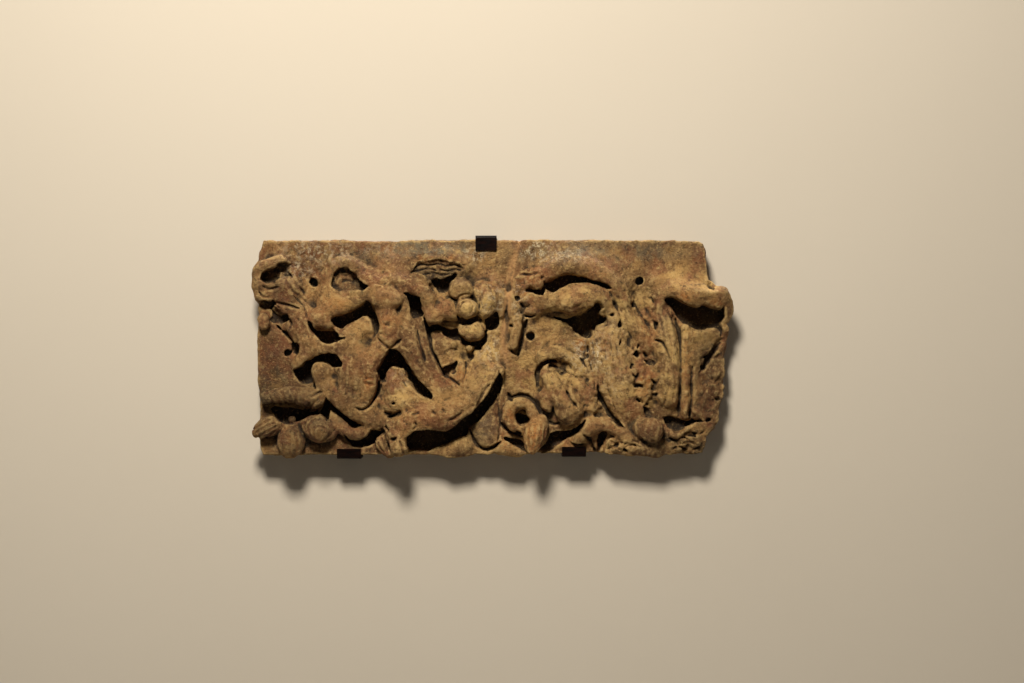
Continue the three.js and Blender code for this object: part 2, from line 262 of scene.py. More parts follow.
# the leaf that curls past the slab's edge at the top left
press_on([(5, 44.5, 2, 9), (18, 44.5, 4, 9), (33, 44.5, 3, 9)], blend=12)
press_on([(3, 40, 5, 7), (3.5, 29, 7, 7), (12.5, 24, 8, 7), (24, 20, 6, 6)])
press_on([(25.5, 43.5, 2, 5), (34.5, 50.5, 4, 4), (43.5, 58.5, 2, 3)])
press_on([(5, 56.5, 5, 6), (11, 56.5, 4, 5)], blend=6)
press_on([(14.5, 59.5, 3, 4), (25, 66.5, 5, 4), (34.5, 70.5, 3, 5)], blend=6)
press_on([(16.5, 53.5, 2, 7), (30.5, 58.5, 3, 7)], blend=10)
press_on([(38.5, 71.5, 2, 9), (43, 85.5, 3, 9), (51, 99.5, 3, 9), (63, 107.5, 4, 8)], blend=12)
press_on([(6, 78.5, 6, 6), (7, 83.5, 5, 6)], blend=4)
press_on([(33.5, 87.5, 4, 4)], blend=6)

# the wing-like shell and the figure's left arm
press_on([(70.5, 38.5, 1, 5), (76.5, 27.5, 2, 7), (87.5, 22, 3, 7), (99.5, 27, 3, 8), (108.5, 37, 4, 9),
    (116.5, 46.5, 4, 9)])
press_on([(72.5, 47.5, 2, 4), (86.5, 51.5, 3, 4), (98.5, 49.5, 3, 4)])
press_on([(116.5, 51.5, 4, 11), (100.5, 57.5, 4, 11), (87, 63.5, 4, 11), (73, 69.5, 5, 10),
    (63, 75.5, 6, 9)], blend=10)
press_on([(88, 49.5, -2, 10), (72, 57.5, -3, 10)], blend=12)
press_on([(64, 78.5, 7, 8), (70, 82.5, 7, 7)], blend=4)
press_on([(94.5, 92.5, -2, 12), (109.5, 87.5, 0, 11)], blend=12)
press_on([(44.5, 75.5, 2, 6), (46.5, 89.5, 3, 6), (56.5, 102.5, 3, 6)], blend=10)

# the torso, broken off at the neck
press_on([(114.5, 45, 3, 12), (130.5, 41, 4, 12), (146.5, 41, 4, 11)], blend=12)
press_on([(134, 25.5, -5, 12)], blend=14)
press_on([(128, 57, 8, 14), (129, 70.5, 8, 11.5), (132, 87.5, 8, 13), (133.5, 100.5, 6, 10)], blend=4)
press_on([(146.5, 59.5, 6, 6), (148.5, 75.5, 7, 7), (151.5, 93.5, 8, 8), (154.5, 107.5, 8, 10)], blend=5)
press_on([(122, 58, 13, 9.5)], blend=4)
press_on([(137, 59, 13, 8.5)], blend=4)
press_on([(131, 92.5, 13, 9)], blend=6)

# the right arm and what it holds
press_on([(146.5, 45, 6, 8), (159.5, 47, 7, 8), (168.5, 55, 8, 8), (170.5, 62.5, 7, 7)], blend=5)
press_on([(183, 59.5, 0, 8)])
press_on([(176.5, 75.5, 6, 10)], blend=4)
press_on([(189.5, 69.5, 6, 11), (195.5, 72.5, 5, 9)], blend=4)
press_on([(162, 55.5, 2, 5), (166, 69.5, 2, 5)], blend=6)

# what broke away behind the shoulders: a rough layered scar
press_on([(156, 21.5, -4, 9), (174, 16.5, -4, 9.5), (192, 16.5, -4, 9.5), (206, 21.5, -4, 9)], blend=10)
press_on([(167, 34.5, -1, 8), (198, 31.5, -2, 8)], blend=10)
press_on([(162, 27.5, 0, 4), (182, 26.5, 1, 5), (200, 28.5, 0, 3)], blend=4)
press_on([(170, 35.5, 0, 4), (184, 34.5, 0, 4), (196, 33, 0, 2)], blend=4)

# the rosette: a button in a ring of round petals
press_on([(235, 43.5, 2, 4), (242, 53.5, 3, 4), (244, 64.5, 3, 4), (243, 73.5, 2, 3)], blend=6)
press_on([(224, 50.5, 4, 10), (229, 60.5, 5, 11), (228, 69.5, 4, 9)], blend=6)
press_on([(202.5, 49, 6, 12.5)], blend=3)
press_on([(209.5, 90.5, 6, 10.5), (216, 90.5, 5, 10)], blend=4)
scoop([(209.5, 69, 17, 12.5)], depth=0.8, blend=1)
press_on([(209.5, 68.5, 12, 10.5)], blend=2)

# the legs, one bare and one under drapery
press_on([(151.5, 104.5, 7, 11), (155.5, 117.5, 7, 11), (163.5, 130.5, 6, 11), (174.5, 144.5, 5, 11),
    (187.5, 155.5, 4, 10)])
press_on([(159.5, 84.5, 4, 6), (166.5, 101.5, 4, 6), (172.5, 117.5, 4, 7), (179.5, 130.5, 4, 7),
    (190, 143.5, 4, 7)], blend=6)
press_on([(131, 102.5, 7, 11), (122, 111.5, 7, 12), (113, 121.5, 7, 13), (110, 135.5, 6, 11),
    (110, 148.5, 6, 9)], blend=10)
press_on([(88, 104.5, 3, 13), (93, 124.5, 5, 16), (95, 144, 5, 16), (88, 157, 4, 13)], blend=12)
press_on([(106.5, 157, 5, 10), (100.5, 163, 5, 8)], blend=10)
press_on([(114, 135.5, 11, 6), (114, 145, 11, 5)], blend=6)

# the scroll's stem round the hollow below the figure
press_on([(40.5, 125.5, 3, 5), (48, 115.5, 5, 6), (61, 107.5, 6, 6), (75, 105.5, 6, 7), (89, 110.5, 6, 8),
    (94.5, 121.5, 5, 8)])
press_on([(64, 131.5, 6, 10), (65, 144.5, 5, 9)])
press_on([(73, 149.5, 4, 9), (83, 159, 5, 10), (95, 168, 5, 11), (108.5, 175, 5, 10), (120.5, 179, 4, 9)],
    blend=10)

# the rocky mound and the long tapering body
press_on([(139, 133.5, 0, 8), (138.5, 147.5, 2, 12), (140.5, 161, 3, 15)])
press_on([(157.5, 162, 3, 15), (182.5, 158, 4, 15), (207.5, 147, 4, 14), (226, 135.5, 3, 9)], blend=12)
press_on([(241, 129.5, 6, 6), (234, 139.5, 8, 9), (222, 153, 9, 13), (206.5, 166, 10, 15),
    (188.5, 173, 10, 17), (169, 178, 10, 17), (151, 184, 10, 15), (139, 191, 9, 13)], blend=4)
press_on([(122.5, 197, 4, 6), (126.5, 205, 5, 7), (131.5, 211, 4, 6)], blend=4)
press_on([(136, 186, 10, 9), (139, 196.5, 15, 9), (141.5, 206.5, 18, 8.5)], blend=4)

# the flower in the bottom left corner
press_on([(9.5, 157, 8, 6), (22, 155, 11, 8), (39, 155, 12, 9), (54.5, 158, 11, 10), (64, 160, 8, 8)])
press_on([(0, 192, 5, 6), (7.5, 188, 7, 10), (15.5, 184, 7, 10), (22, 179, 4, 7)], blend=2)
press_on([(33, 189, 5, 9), (33.5, 200, 7, 13.5), (33.5, 206, 6, 11)], blend=2)
press_on([(50, 183, 5, 8), (60.5, 187, 7, 14), (69, 191, 5, 10)], blend=2)

# the stem that runs along the bottom
press_on([(72.5, 170.5, 2, 4), (79.5, 181, 4, 5.5), (88.5, 190, 6, 6), (99.5, 194, 6, 5.5),
    (109.5, 190, 6, 5.5), (118.5, 183, 5, 6)], blend=4)

# low plates of leaf between the rosette and the repair
press_on([(188, 111.5, 1, 9), (198, 129.5, 2, 10), (212, 142.5, 2, 10), (226, 127.5, 0, 11)],
    depth=0.7, blend=12)
press_on([(192, 104.5, 2, 7), (182, 104.5, 2, 7)])
press_on([(203, 123.5, 6, 4), (201, 135.5, 5, 6)], blend=4)
press_on([(211, 107.5, 4, 5)], blend=3)
press_on([(228, 169.5, -1, 9), (227, 187, 0, 12), (229, 197.5, 0, 10)], depth=0.6, blend=6)
press_on([(242, 207.5, 2, 5), (252, 208.5, 2, 5), (260, 211.5, 1, 4)], blend=6)
press_on([(206, 205.5, 0, 8), (190, 211.5, 0, 5)])
press_on([(254, 55.5, 2, 5), (256, 74.5, 4, 6), (258, 92.5, 5, 6), (256, 105.5, 4, 5)])
press_on([(270, 58.5, 3, 7), (278, 59.5, 4, 8), (276, 70.5, 3, 7)])

# the big acanthus curl at the upper right
press_on([(260, 40.5, 1, 7), (275, 37.5, 3, 8), (291, 31, 5, 9), (308.5, 25, 6, 10), (326.5, 27, 6, 10),
    (343.5, 34, 6, 10), (357.5, 46, 5, 9), (366.5, 61.5, 3, 8)], blend=7)
press_on([(285, 22.5, -6, 10), (308, 16.5, -7, 12), (332, 17.5, -7, 12), (353, 24.5, -6, 12),
    (367, 40.5, -6, 12)])
press_on([(287, 61.5, 4, 9), (301.5, 60, 8, 12), (316.5, 59, 9, 15), (331.5, 57, 8, 13),
    (343.5, 61.5, 5, 10)])
press_on([(270, 44.5, 2, 6), (282, 42.5, 3, 6)])
press_on([(353.5, 73.5, 4, 4), (355.5, 85.5, 4, 5), (355.5, 99.5, 3, 6)])
press_on([(332, 93.5, 3, 4), (336, 119.5, 4, 4), (337, 144.5, 3, 4)])
press_on([(340, 92.5, 3, 4), (341.5, 119.5, 4, 4), (343, 147.5, 3, 4)])
press_on([(351.5, 104.5, 2, 12), (357.5, 129.5, 3, 16), (363.5, 152, 3, 16), (373.5, 171, 2, 12)],
    depth=0.75, blend=14)
press_on([(369.5, 77.5, 2, 6), (381.5, 89.5, 3, 7), (389.5, 104.5, 3, 7)], blend=12)
press_on([(383.5, 129.5, 3, 7), (387.5, 141.5, 3, 8), (386.5, 153.5, 2, 7)])

# the leaf below it: a folded band, a ring with a deep eye and a striped pointed tip
press_on([(285, 115.5, 3, 5), (298, 112.5, 4, 6), (312, 117.5, 4, 6), (323, 127.5, 3, 6)], blend=10)
press_on([(289, 133.5, 3, 9), (296, 143.5, 6, 11), (303.5, 156, 8, 12), (310.5, 170, 9, 14)], blend=10)
press_on([(314, 139.5, 2, 9), (324, 153.5, 2, 9), (332, 165.5, 2, 8)], blend=12)
press_on([(287, 155, 6, 7), (289, 164, 6, 7)], blend=6)
RING_MIDDLE = (263.5, 174.5)
RING_RADIUS = 12.5
press_on([
    (RING_MIDDLE[0] + RING_RADIUS * math.cos(turn), RING_MIDDLE[1] + RING_RADIUS * math.sin(turn), 5, 7)
    for turn in np.linspace(0, 2 * math.pi, 9)
], blend=4)
press_on([(283, 180, 6, 7), (279, 189, 11, 10), (276, 198.5, 15, 10), (274.5, 207, 18, 6)], blend=3)
press_on([(320, 201, 2, 6), (327.5, 189, 5, 9), (341.5, 184, 6, 8), (355.5, 187, 5, 8), (369.5, 196, 4, 7),
    (381.5, 205, 3, 6)], blend=6)
press_on([(354, 203.5, 1, 7), (368, 208.5, 1, 6), (383.5, 209.5, 2, 5)])
press_on([(384, 187, 8, 10), (393, 189, 9, 13)], blend=3)
press_on([(397, 205.5, -3, 12)], blend=6)
press_on([(415.5, 194, 4, 5), (427.5, 188, 5, 4), (439.5, 185, 5, 4), (450.5, 185, 4, 4)], blend=4)
press_on([(421.5, 203.5, 1, 6), (437.5, 199.5, 0, 7)])

# the leaf at the right end, whose tip rolls forward over a hollow
press_on([(401.5, 67.5, 2, 7), (405.5, 84.5, 3, 10), (411, 104.5, 4, 12), (413, 129.5, 4, 13),
    (411.5, 154.5, 2, 11)], blend=10)
press_on([(434.5, 104.5, 1, 8), (436.5, 131.5, 0, 9), (436.5, 161.5, -1, 9)])
press_on([(427.5, 87.5, 5, 5), (427, 111.5, 8, 5), (427, 139.5, 8, 5), (426, 175, 5, 4.5)], blend=4)
press_on([(438.5, 99.5, 2, 9), (448.5, 101.5, 2, 10), (456.5, 109.5, 1, 8)], blend=10)
press_on([(445.5, 121.5, 0, 10), (447.5, 144.5, 0, 12), (443.5, 163.5, 0, 10)], blend=10)
press_on([(400, 44.5, -3, 10), (421.5, 43.5, 0, 11), (437.5, 48.5, 1, 10)], blend=10)
press_on([(401.5, 53.5, 2, 6), (416, 51, 8, 9), (430.5, 54, 12, 11), (440.5, 56.5, 13, 10.5)])
press_on([(440.5, 57, 13, 10), (454.5, 60, 12, 9)], blend=2)
press_on([(463, 53.5, 6, 7), (468, 62.5, 5, 6), (468.5, 74.5, 3, 6)], blend=4)

# cut into the leaf that curls past the slab's edge at the top left
pit(-2, [(4, 38.5), (5.5, 34.5), (8.5, 31.5), (13.5, 29.5), (21.5, 28.5), (22, 32.5), (21.5, 38.5),
    (17.5, 41.5), (8.5, 42)])
pit(-1, [(21.5, 24), (25.5, 22.5), (29, 23), (30.5, 27.5), (32, 34.5), (28.5, 36), (24.5, 33.5),
    (21.5, 29.5)])
pit(-5, [(12.5, 67.5), (15.5, 70.5), (18.5, 73.5), (23.5, 74.5), (29.5, 72.5), (31.5, 76.5), (30.5, 80.5),
    (23.5, 83.5), (15.5, 82.5), (11.5, 79.5), (14.5, 75.5), (14.5, 71.5)])
pit(-3, [(2, 60.5), (8.5, 59.5), (14.5, 61.5), (16.5, 65.5), (12.5, 68.5), (5.5, 69.5), (2, 66.5)])
pit(-7, [(33.5, 101.5), (41.5, 100.5), (44.5, 105.5), (42.5, 111.5), (39.5, 115.5), (33.5, 111.5),
    (32.5, 105.5)])
pit(-3, [(25.5, 90.5), (29.5, 90.5), (31.5, 94.5), (29.5, 96.5), (26.5, 94.5)])
pit(-6, [(16.5, 83.5), (19.5, 84.5), (24.5, 88.5), (29.5, 92.5), (32.5, 96.5), (38.5, 101.5),
    (36.5, 105.5), (30.5, 98.5), (25.5, 93.5), (19.5, 87.5)])
cuts([[(32.5, 33.5), (38.5, 43.5), (46.5, 52.5)], [(28.5, 39.5), (36.5, 51.5), (48.5, 61.5)],
    [(36.5, 55.5), (45.5, 65.5), (50.5, 77.5)], [(40.5, 77.5), (47.5, 87.5), (52.5, 97.5)]], 1.6, 1.6)
cuts([[(31.5, 78.5), (34.5, 83.5), (32.5, 88.5)], [(2, 51.5), (6.5, 56.5), (13.5, 56.5)], [(5, 45.5),
    (12.5, 48.5), (22.5, 46.5)]], 1.3, 2.4)
cut([(14.5, 59.5), (19.5, 62.5), (30.5, 64.5), (42.5, 68.5)], 1.3, 3)
cut([(12.5, 68.5), (16.5, 63.5), (22.5, 67.5)], 1.0, 2)

# cut into the wing-like shell and the figure's left arm
pit(-1, [(73.5, 46.5), (73.5, 38.5), (77.5, 31.5), (81.5, 27.5), (86.5, 26), (92.5, 28.5), (98.5, 33.5),
    (103.5, 39.5), (110.5, 46), (106.5, 49.5), (98.5, 50.5), (88.5, 50.5), (80.5, 49.5)], blend=1.5)
press_on([(78, 43.5, -3, 4), (88, 47.5, -2, 5), (100, 49.5, -2, 4)], blend=6)
cuts([[(75.5, 35.5), (81.5, 30.5), (87.5, 31.5)], [(77.5, 40.5), (83.5, 34.5), (92.5, 36.5)],
    [(80.5, 45.5), (88.5, 39.5), (97.5, 43.5)], [(85.5, 29.5), (93.5, 35.5), (98.5, 42.5)]], 1.1, 1.1)
pit(-9, [(73.5, 79.5), (77.5, 76.5), (84.5, 74.5), (92.5, 72), (100.5, 67.5), (105.5, 63.5), (109.5, 60),
    (112.5, 62.5), (114.5, 67.5), (117.5, 73), (120.5, 78.5), (122.5, 84.5), (121.5, 89.5), (119.5, 93.5),
    (116.5, 88.5), (113.5, 79.5), (109.5, 75), (104.5, 75.5), (100.5, 78), (94.5, 81), (88.5, 84),
    (83.5, 87.5), (79.5, 86.5), (75.5, 83.5)])
pit(-9, [(49.5, 78.5), (52.5, 80), (55.5, 82.5), (57.5, 87.5), (61.5, 90.5), (68.5, 91.5), (75.5, 91),
    (79.5, 93), (81.5, 97), (87.5, 97.5), (81.5, 100), (75.5, 103), (69.5, 104), (63.5, 102), (58.5, 96),
    (52.5, 91), (50, 84.5)])

# cut into the torso, broken off at the neck
cut([(143.5, 64.5), (140.5, 71.5), (138.5, 79.5), (140.5, 89.5)], 2.4, 0.9)
cut([(120.5, 97.5), (127.5, 104.5), (133.5, 107.5), (139.5, 102.5), (144.5, 98.5)], 1.4, 3)
cut([(128.5, 84.5), (132.5, 84.5)], 1.3, 2)
cut([(123.5, 92.5), (132.5, 96.5), (139.5, 92.5)], 2.2, 1.4)
cuts([[(117.5, 42.5), (125.5, 44.5), (131, 41.5), (135.5, 34.5)], [(118.5, 48.5), (124.5, 46.5)]], 1.0, 1)

# cut into the right arm and what it holds
pit(-12, [(143.5, 52.5), (146.5, 51), (151.5, 51.5), (154.5, 54), (163.5, 55.5), (163.5, 62.5),
    (164.5, 68.5), (167, 73), (164.5, 76), (155, 78.5), (152.5, 73), (150.5, 61.5), (148.5, 57)], blend=0.8)

# cut into what broke away behind the shoulders: a rough layered scar
pit(3, [(153.5, 32.5), (156.5, 27.5), (160.5, 21), (172, 19.5), (182, 19.5), (194, 21.5), (202, 23.5),
    (205, 28.5), (202, 32.5), (198, 34.5), (194, 41.5), (188, 43.5), (178, 40.5), (170.5, 39.5),
    (166.5, 35.5), (160.5, 33.5)], blend=1)
cuts([[(157.5, 26.5), (163.5, 24), (172, 25), (180, 23.5), (189, 25.5), (197, 24.5), (204, 27.5)],
    [(155.5, 31.5), (161.5, 30), (170.5, 28), (178, 30)]], 0.9, 2.6)
cuts([[(182, 29), (190, 30.5), (198, 29), (204, 30.5)], [(166.5, 34), (175, 32.5), (185, 34.5),
    (194, 33)]], 0.9, 2.4)
pit(-10, [(173, 39.5), (178, 38.5), (184, 38.5), (188, 36), (193, 34.5), (197, 33.5), (198, 36.5),
    (195, 39.5), (192, 43.5), (191, 49.5), (189, 52), (181, 52), (178, 47.5), (175, 43.5)])

# cut into the rosette: a button in a ring of round petals
cuts([[(220, 45.5), (222, 55.5), (222, 67.5)], [(230, 45.5), (235, 55.5), (236, 67.5)]], 1.2, 1.4)
cut([(192, 56.5), (198, 59.5), (203, 55.5), (212, 53.5)], 1.2, 2)
pit(-11, [(167, 83.5), (170.5, 86.5), (174, 84), (180, 83.5), (184, 85.5), (189, 87.5), (194, 88.5),
    (199, 87.5), (201, 92.5), (205, 96.5), (209, 99.5), (215, 101), (222, 99), (226, 95), (228, 91.5),
    (230.5, 94.5), (230, 100.5), (227, 104.5), (222, 107.5), (217, 106.5), (213, 104.5), (208, 104.5),
    (204, 105), (202, 100.5), (197, 99.5), (191, 98), (185, 95), (183, 90.5), (178, 90), (173, 92),
    (170.5, 94.5), (168.5, 90.5)])
pit(-11, [(226, 78.5), (231, 75.5), (235, 72.5), (238, 70.5), (240, 72.5), (241, 77.5), (241, 84.5),
    (239, 88.5), (234, 90.5), (230, 90.5), (228, 94.5), (226, 91.5), (228, 88.5), (226.5, 84.5)])
pit(-1, [(198, 73.5), (202, 77.5), (208, 80), (214, 79.5), (219, 75.5), (221, 75.5), (218, 81),
    (212, 84.5), (205, 85), (201, 82)])
cut([(203, 67.5), (205, 63), (210, 61.5), (214.5, 64), (215, 69.5), (211.5, 73.5)], 1.1, 1.8)

# cut into the legs, one bare and one under drapery
cut([(159.5, 89.5), (162.5, 103.5), (165.5, 112.5), (167.5, 121.5)], 1.4, 2.2)
cut([(166.5, 77.5), (169.5, 87.5), (172, 98.5), (174, 109.5), (178, 117.5), (182, 125.5), (186, 133.5),
    (192, 137.5), (197, 140.5), (202, 144.5)], 1.5, 4)
cuts([[(89.5, 111.5), (87.5, 131.5), (89.5, 154.5)], [(97.5, 115.5), (95.5, 135.5), (96.5, 157.5)],
    [(104.5, 121.5), (103.5, 139.5), (103.5, 157.5)], [(82.5, 125.5), (80.5, 139.5), (81.5, 153.5)]],
    2.0, 1.3)
cut([(121.5, 140.5), (120.5, 149.5), (116.5, 158.5), (111.5, 165.5), (104.5, 169), (98.5, 166.5)], 1.4, 3.5)
cuts([[(106.5, 130.5), (106.5, 149.5)], [(119.5, 133.5), (120.5, 145.5)], [(108.5, 142.5), (116.5, 143.5)],
    [(108.5, 137.5), (116.5, 137.5)]], 1.0, 1.2)
cuts([[(94.5, 106.5), (92.5, 119.5), (94.5, 133.5), (91.5, 147.5)], [(114.5, 115.5), (110.5, 129.5),
    (108.5, 143.5)], [(125.5, 109.5), (120.5, 121.5), (119.5, 131.5)]], 1.6, 1.0)
cuts([[(154.5, 111.5), (159.5, 121.5), (166.5, 131.5)], [(163.5, 125.5), (171, 136.5), (180, 146.5)],
    [(186, 159.5), (198, 155.5), (210, 149.5)], [(146.5, 163.5), (158.5, 159.5), (170.5, 159.5)]], 2.0, 0.8)

# cut into the scroll's stem round the hollow below the figure
pit(-12, [(35.5, 129.5), (38.5, 127.5), (43.5, 126), (47.5, 120.5), (53.5, 118.5), (58.5, 114.5),
    (64.5, 112.5), (72.5, 111.5), (79.5, 113.5), (84.5, 117.5), (87.5, 122.5), (85.5, 127), (79.5, 127.5),
    (74.5, 126.5), (71.5, 123), (66.5, 121.5), (60.5, 121.5), (56.5, 124), (53.5, 128), (53.5, 132.5),
    (55.5, 138.5), (55, 142.5), (50.5, 144), (44.5, 143.5), (40.5, 140.5), (37.5, 135.5)])
pit(0, [(54.5, 137.5), (57.5, 141.5), (60.5, 147.5), (58.5, 149.5), (55.5, 145.5)])

# cut into the rocky mound and the long tapering body
cuts([[(117.5, 196), (121.5, 204), (126.5, 212)], [(122.5, 193), (126.5, 202), (130.5, 211)],
    [(127.5, 193), (130.5, 202), (133.5, 211)]], 1.0, 1.4)
cut([(134.5, 197), (136.5, 198.5), (139.5, 196)], 1.4, 5)
cut([(142.5, 199), (145.5, 205), (146.5, 212)], 1.4, 2.5)
pit(7, [(131.5, 162.5), (136.5, 159.5), (139.5, 160.5), (139.5, 164.5), (135.5, 165.5)])
cuts([[(126.5, 171.5), (130.5, 173), (134.5, 171.5)], [(175, 170.5), (179, 172.5)], [(130.5, 176.5),
    (136.5, 174.5), (142.5, 170.5)], [(185, 167.5), (189, 171.5)], [(154.5, 173.5), (162.5, 171.5)]],
    1.4, 2.4)
cut([(192, 178.5), (198, 176.5), (204, 171.5)], 1.5, 2.5)
cuts([[(204, 170.5), (210, 167.5), (217, 163.5)], [(182, 180.5), (191, 180.5), (198, 183.5)]], 1.6, 1.2)
cut([(232, 143.5), (226, 150.5), (222, 159.5), (219, 164.5)], 1.6, 3)
cuts([[(157.5, 180.5), (159.5, 184), (156.5, 188)], [(146.5, 179.5), (150.5, 183.5)], [(128.5, 185),
    (131.5, 190)]], 1.5, 2.5)
pit(-12, [(131.5, 107), (137.5, 107.5), (142.5, 110), (145.5, 115.5), (151.5, 125.5), (156.5, 134),
    (162.5, 140.5), (166.5, 144.5), (172, 150.5), (175, 155.5), (174, 158.5), (166.5, 155.5),
    (158.5, 150.5), (154.5, 145.5), (150.5, 139.5), (145.5, 129), (140.5, 127.5), (134.5, 127),
    (131.5, 130.5), (128.5, 136.5), (125.5, 141), (121.5, 138.5), (119, 130.5), (123.5, 121.5),
    (127.5, 114.5)])
pit(-11, [(147.5, 197), (151.5, 193), (157.5, 189.5), (170.5, 188.5), (180, 190), (188, 189.5), (197, 184),
    (205, 176.5), (214, 170.5), (222, 162), (229, 153.5), (234, 143.5), (239, 135.5), (243, 130.5),
    (245, 137.5), (244, 145.5), (239, 156.5), (233, 165.5), (226, 174.5), (220, 180.5), (214, 185),
    (211, 188), (209, 195), (200, 197), (188, 204), (178, 208), (170.5, 211.5), (162.5, 210), (151.5, 210),
    (147.5, 205)])

# cut into the flower in the bottom left corner
scoop([(15, 169, 7, 6), (27.5, 173, 7, 9), (39, 172, 7, 9), (51, 170, 7, 5)])
pit(-8, [(12.5, 168.5), (17.5, 175.5), (22.5, 181.5), (28.5, 184), (35.5, 183.5), (42.5, 180),
    (47.5, 177.5), (54.5, 174), (61.5, 173.5), (52.5, 170.5), (42.5, 169.5), (27.5, 167.5), (16.5, 166.5)])
press_on([(34, 178.5, -3, 4)], blend=2)
cuts([[(45.5, 169.5), (50.5, 165.5), (54.5, 161.5)], [(49.5, 170.5), (56.5, 163.5), (63.5, 157.5)],
    [(55.5, 172.5), (61.5, 168.5), (66.5, 163.5)], [(54.5, 156.5), (60.5, 152.5), (66.5, 150.5)]], 1.1, 1.8)
cuts([[(10.5, 151.5), (14.5, 157.5), (17.5, 163.5)], [(24.5, 149.5), (27.5, 156.5), (29.5, 163.5)],
    [(40.5, 149.5), (40.5, 156.5), (38.5, 163.5)]], 1.6, 1)
cuts([[(-3, 193), (6.5, 187), (18.5, 181.5)], [(0, 197), (9.5, 191), (20.5, 185)], [(-4, 189), (5, 183.5),
    (14.5, 178.5)], [(5, 199), (12.5, 194), (19.5, 189)]], 1.2, 1.3)
cuts([[(54.5, 195), (51.5, 187), (55.5, 180.5), (64.5, 178.5), (71.5, 182.5)], [(58.5, 197), (57.5, 189),
    (61.5, 185), (69.5, 187)], [(66.5, 199), (72.5, 195), (77.5, 189)], [(50.5, 191), (47.5, 185),
    (50.5, 179.5)]], 1.2, 1.2)
cuts([[(27.5, 193), (25.5, 203), (28.5, 211)], [(33.5, 191), (33.5, 211)], [(39.5, 193), (41.5, 203),
    (39.5, 211)]], 1.5, 1)

# cut into the stem that runs along the bottom
pit(-9, [(69.5, 153.5), (70.5, 158.5), (73.5, 162.5), (78.5, 166.5), (83.5, 170.5), (88.5, 175),
    (94.5, 178.5), (100.5, 181.5), (104.5, 183.5), (103.5, 186), (99.5, 187), (94.5, 186), (89.5, 182.5),
    (84.5, 178), (79.5, 173.5), (75.5, 170.5), (72.5, 169), (71.5, 172.5), (71.5, 176.5), (70, 180.5),
    (67.5, 176.5), (62.5, 172.5), (64.5, 167.5), (67.5, 161.5), (69, 156.5)])
pit(-9, [(82.5, 186), (86.5, 192), (90.5, 198), (96.5, 200), (102.5, 199), (109.5, 195), (113.5, 189),
    (117.5, 188.5), (122.5, 190), (127, 189.5), (127.5, 192), (122.5, 195), (119.5, 197.5), (116.5, 202),
    (111.5, 205.5), (103.5, 207), (94.5, 206), (91.5, 202), (87.5, 197)])

# cut into low plates of leaf between the rosette and the repair
pit(-1, [(183.5, 128.5), (188, 125.5), (194, 124.5), (199, 121.5), (199.5, 123.5), (197, 127.5),
    (192, 129.5), (191, 133.5), (189, 136.5), (185, 133.5)])
pit(3, [(193, 130.5), (197, 129.5), (199, 131.5), (195, 133)])
cut([(208, 121.5), (208, 131.5), (205, 139.5), (201, 144.5)], 1.3, 2)
cuts([[(188, 111.5), (194, 108.5), (200, 109.5)], [(190, 115.5), (197, 117.5)]], 1.2, 1.5)
pit(-2, [(210, 113.5), (213, 112.5), (216, 115.5), (215, 119.5), (213, 120.5)])
cut([(214, 111.5), (218, 108.5), (224, 108.5)], 1.3, 3)
cut([(212, 189), (216, 199), (220, 205), (226, 208.5), (232, 208), (238, 205), (243, 201)], 1.6, 4)
cut([(269, 79.5), (266, 91.5), (263, 103.5), (260, 115.5)], 1.9, 6)
pit(-3, [(251, 109.5), (255, 109.5), (261, 105.5), (262, 111.5), (260, 117), (255, 114.5), (253, 112)])
cut([(267, 75.5), (272, 76), (278, 74.5)], 1.2, 3)
pit(2, [(255, 55.5), (261, 56), (262, 59.5), (258, 60)])
cuts([[(263, 62.5), (265, 66.5)], [(283, 38.5), (285, 36.5)], [(262, 33.5), (272, 34.5), (280, 32.5)],
    [(253, 84.5), (255, 86.5)]], 1.3, 3)

# cut into the big acanthus curl at the upper right
pit(-6, [(267, 49.5), (271, 47.5), (278, 48), (283, 48), (285, 44.5), (285, 40.5), (291, 41.5),
    (295, 39.5), (302, 36.5), (309, 34.5), (318, 35), (325, 36.5), (332, 39), (339.5, 41), (348.5, 44.5),
    (353.5, 48.5), (343.5, 46.5), (334, 44), (328, 42.5), (320, 43.5), (312, 43.5), (307, 46), (302, 48.5),
    (298, 51.5), (295, 53.5), (291, 51.5), (288, 50), (287, 54.5), (285, 56.5), (279, 55.5), (273, 52.5),
    (268, 51)], blend=1.5)
pit(-13, [(296, 76.5), (302, 77), (309, 77.5), (315, 75), (323, 73.5), (328, 70.5), (330, 68), (334, 65.5),
    (336, 62.5), (339.5, 61.5), (343.5, 63.5), (345.5, 67.5), (341.5, 72.5), (344.5, 74.5), (348.5, 77.5),
    (346.5, 82.5), (339.5, 85.5), (337.5, 89.5), (334, 90.5), (334, 95.5), (332, 97.5), (328, 97.5),
    (322, 94.5), (317, 90.5), (313, 86.5), (309, 83), (302, 80), (298, 78.5)])
press_on([(345.5, 64.5, 4, 3), (348.5, 69.5, 5, 3), (344, 72.5, 3, 2.5)], blend=3)
pit(-3, [(358.5, 84.5), (361.5, 79.5), (364.5, 84.5), (363.5, 87.5), (359.5, 87.5)])
pit(1, [(350.5, 75.5), (353.5, 72.5), (356.5, 73.5), (354.5, 76.5)])
pit(-1, [(359.5, 105.5), (361.5, 99.5), (363, 97.5), (363, 102.5), (360.5, 106.5)])
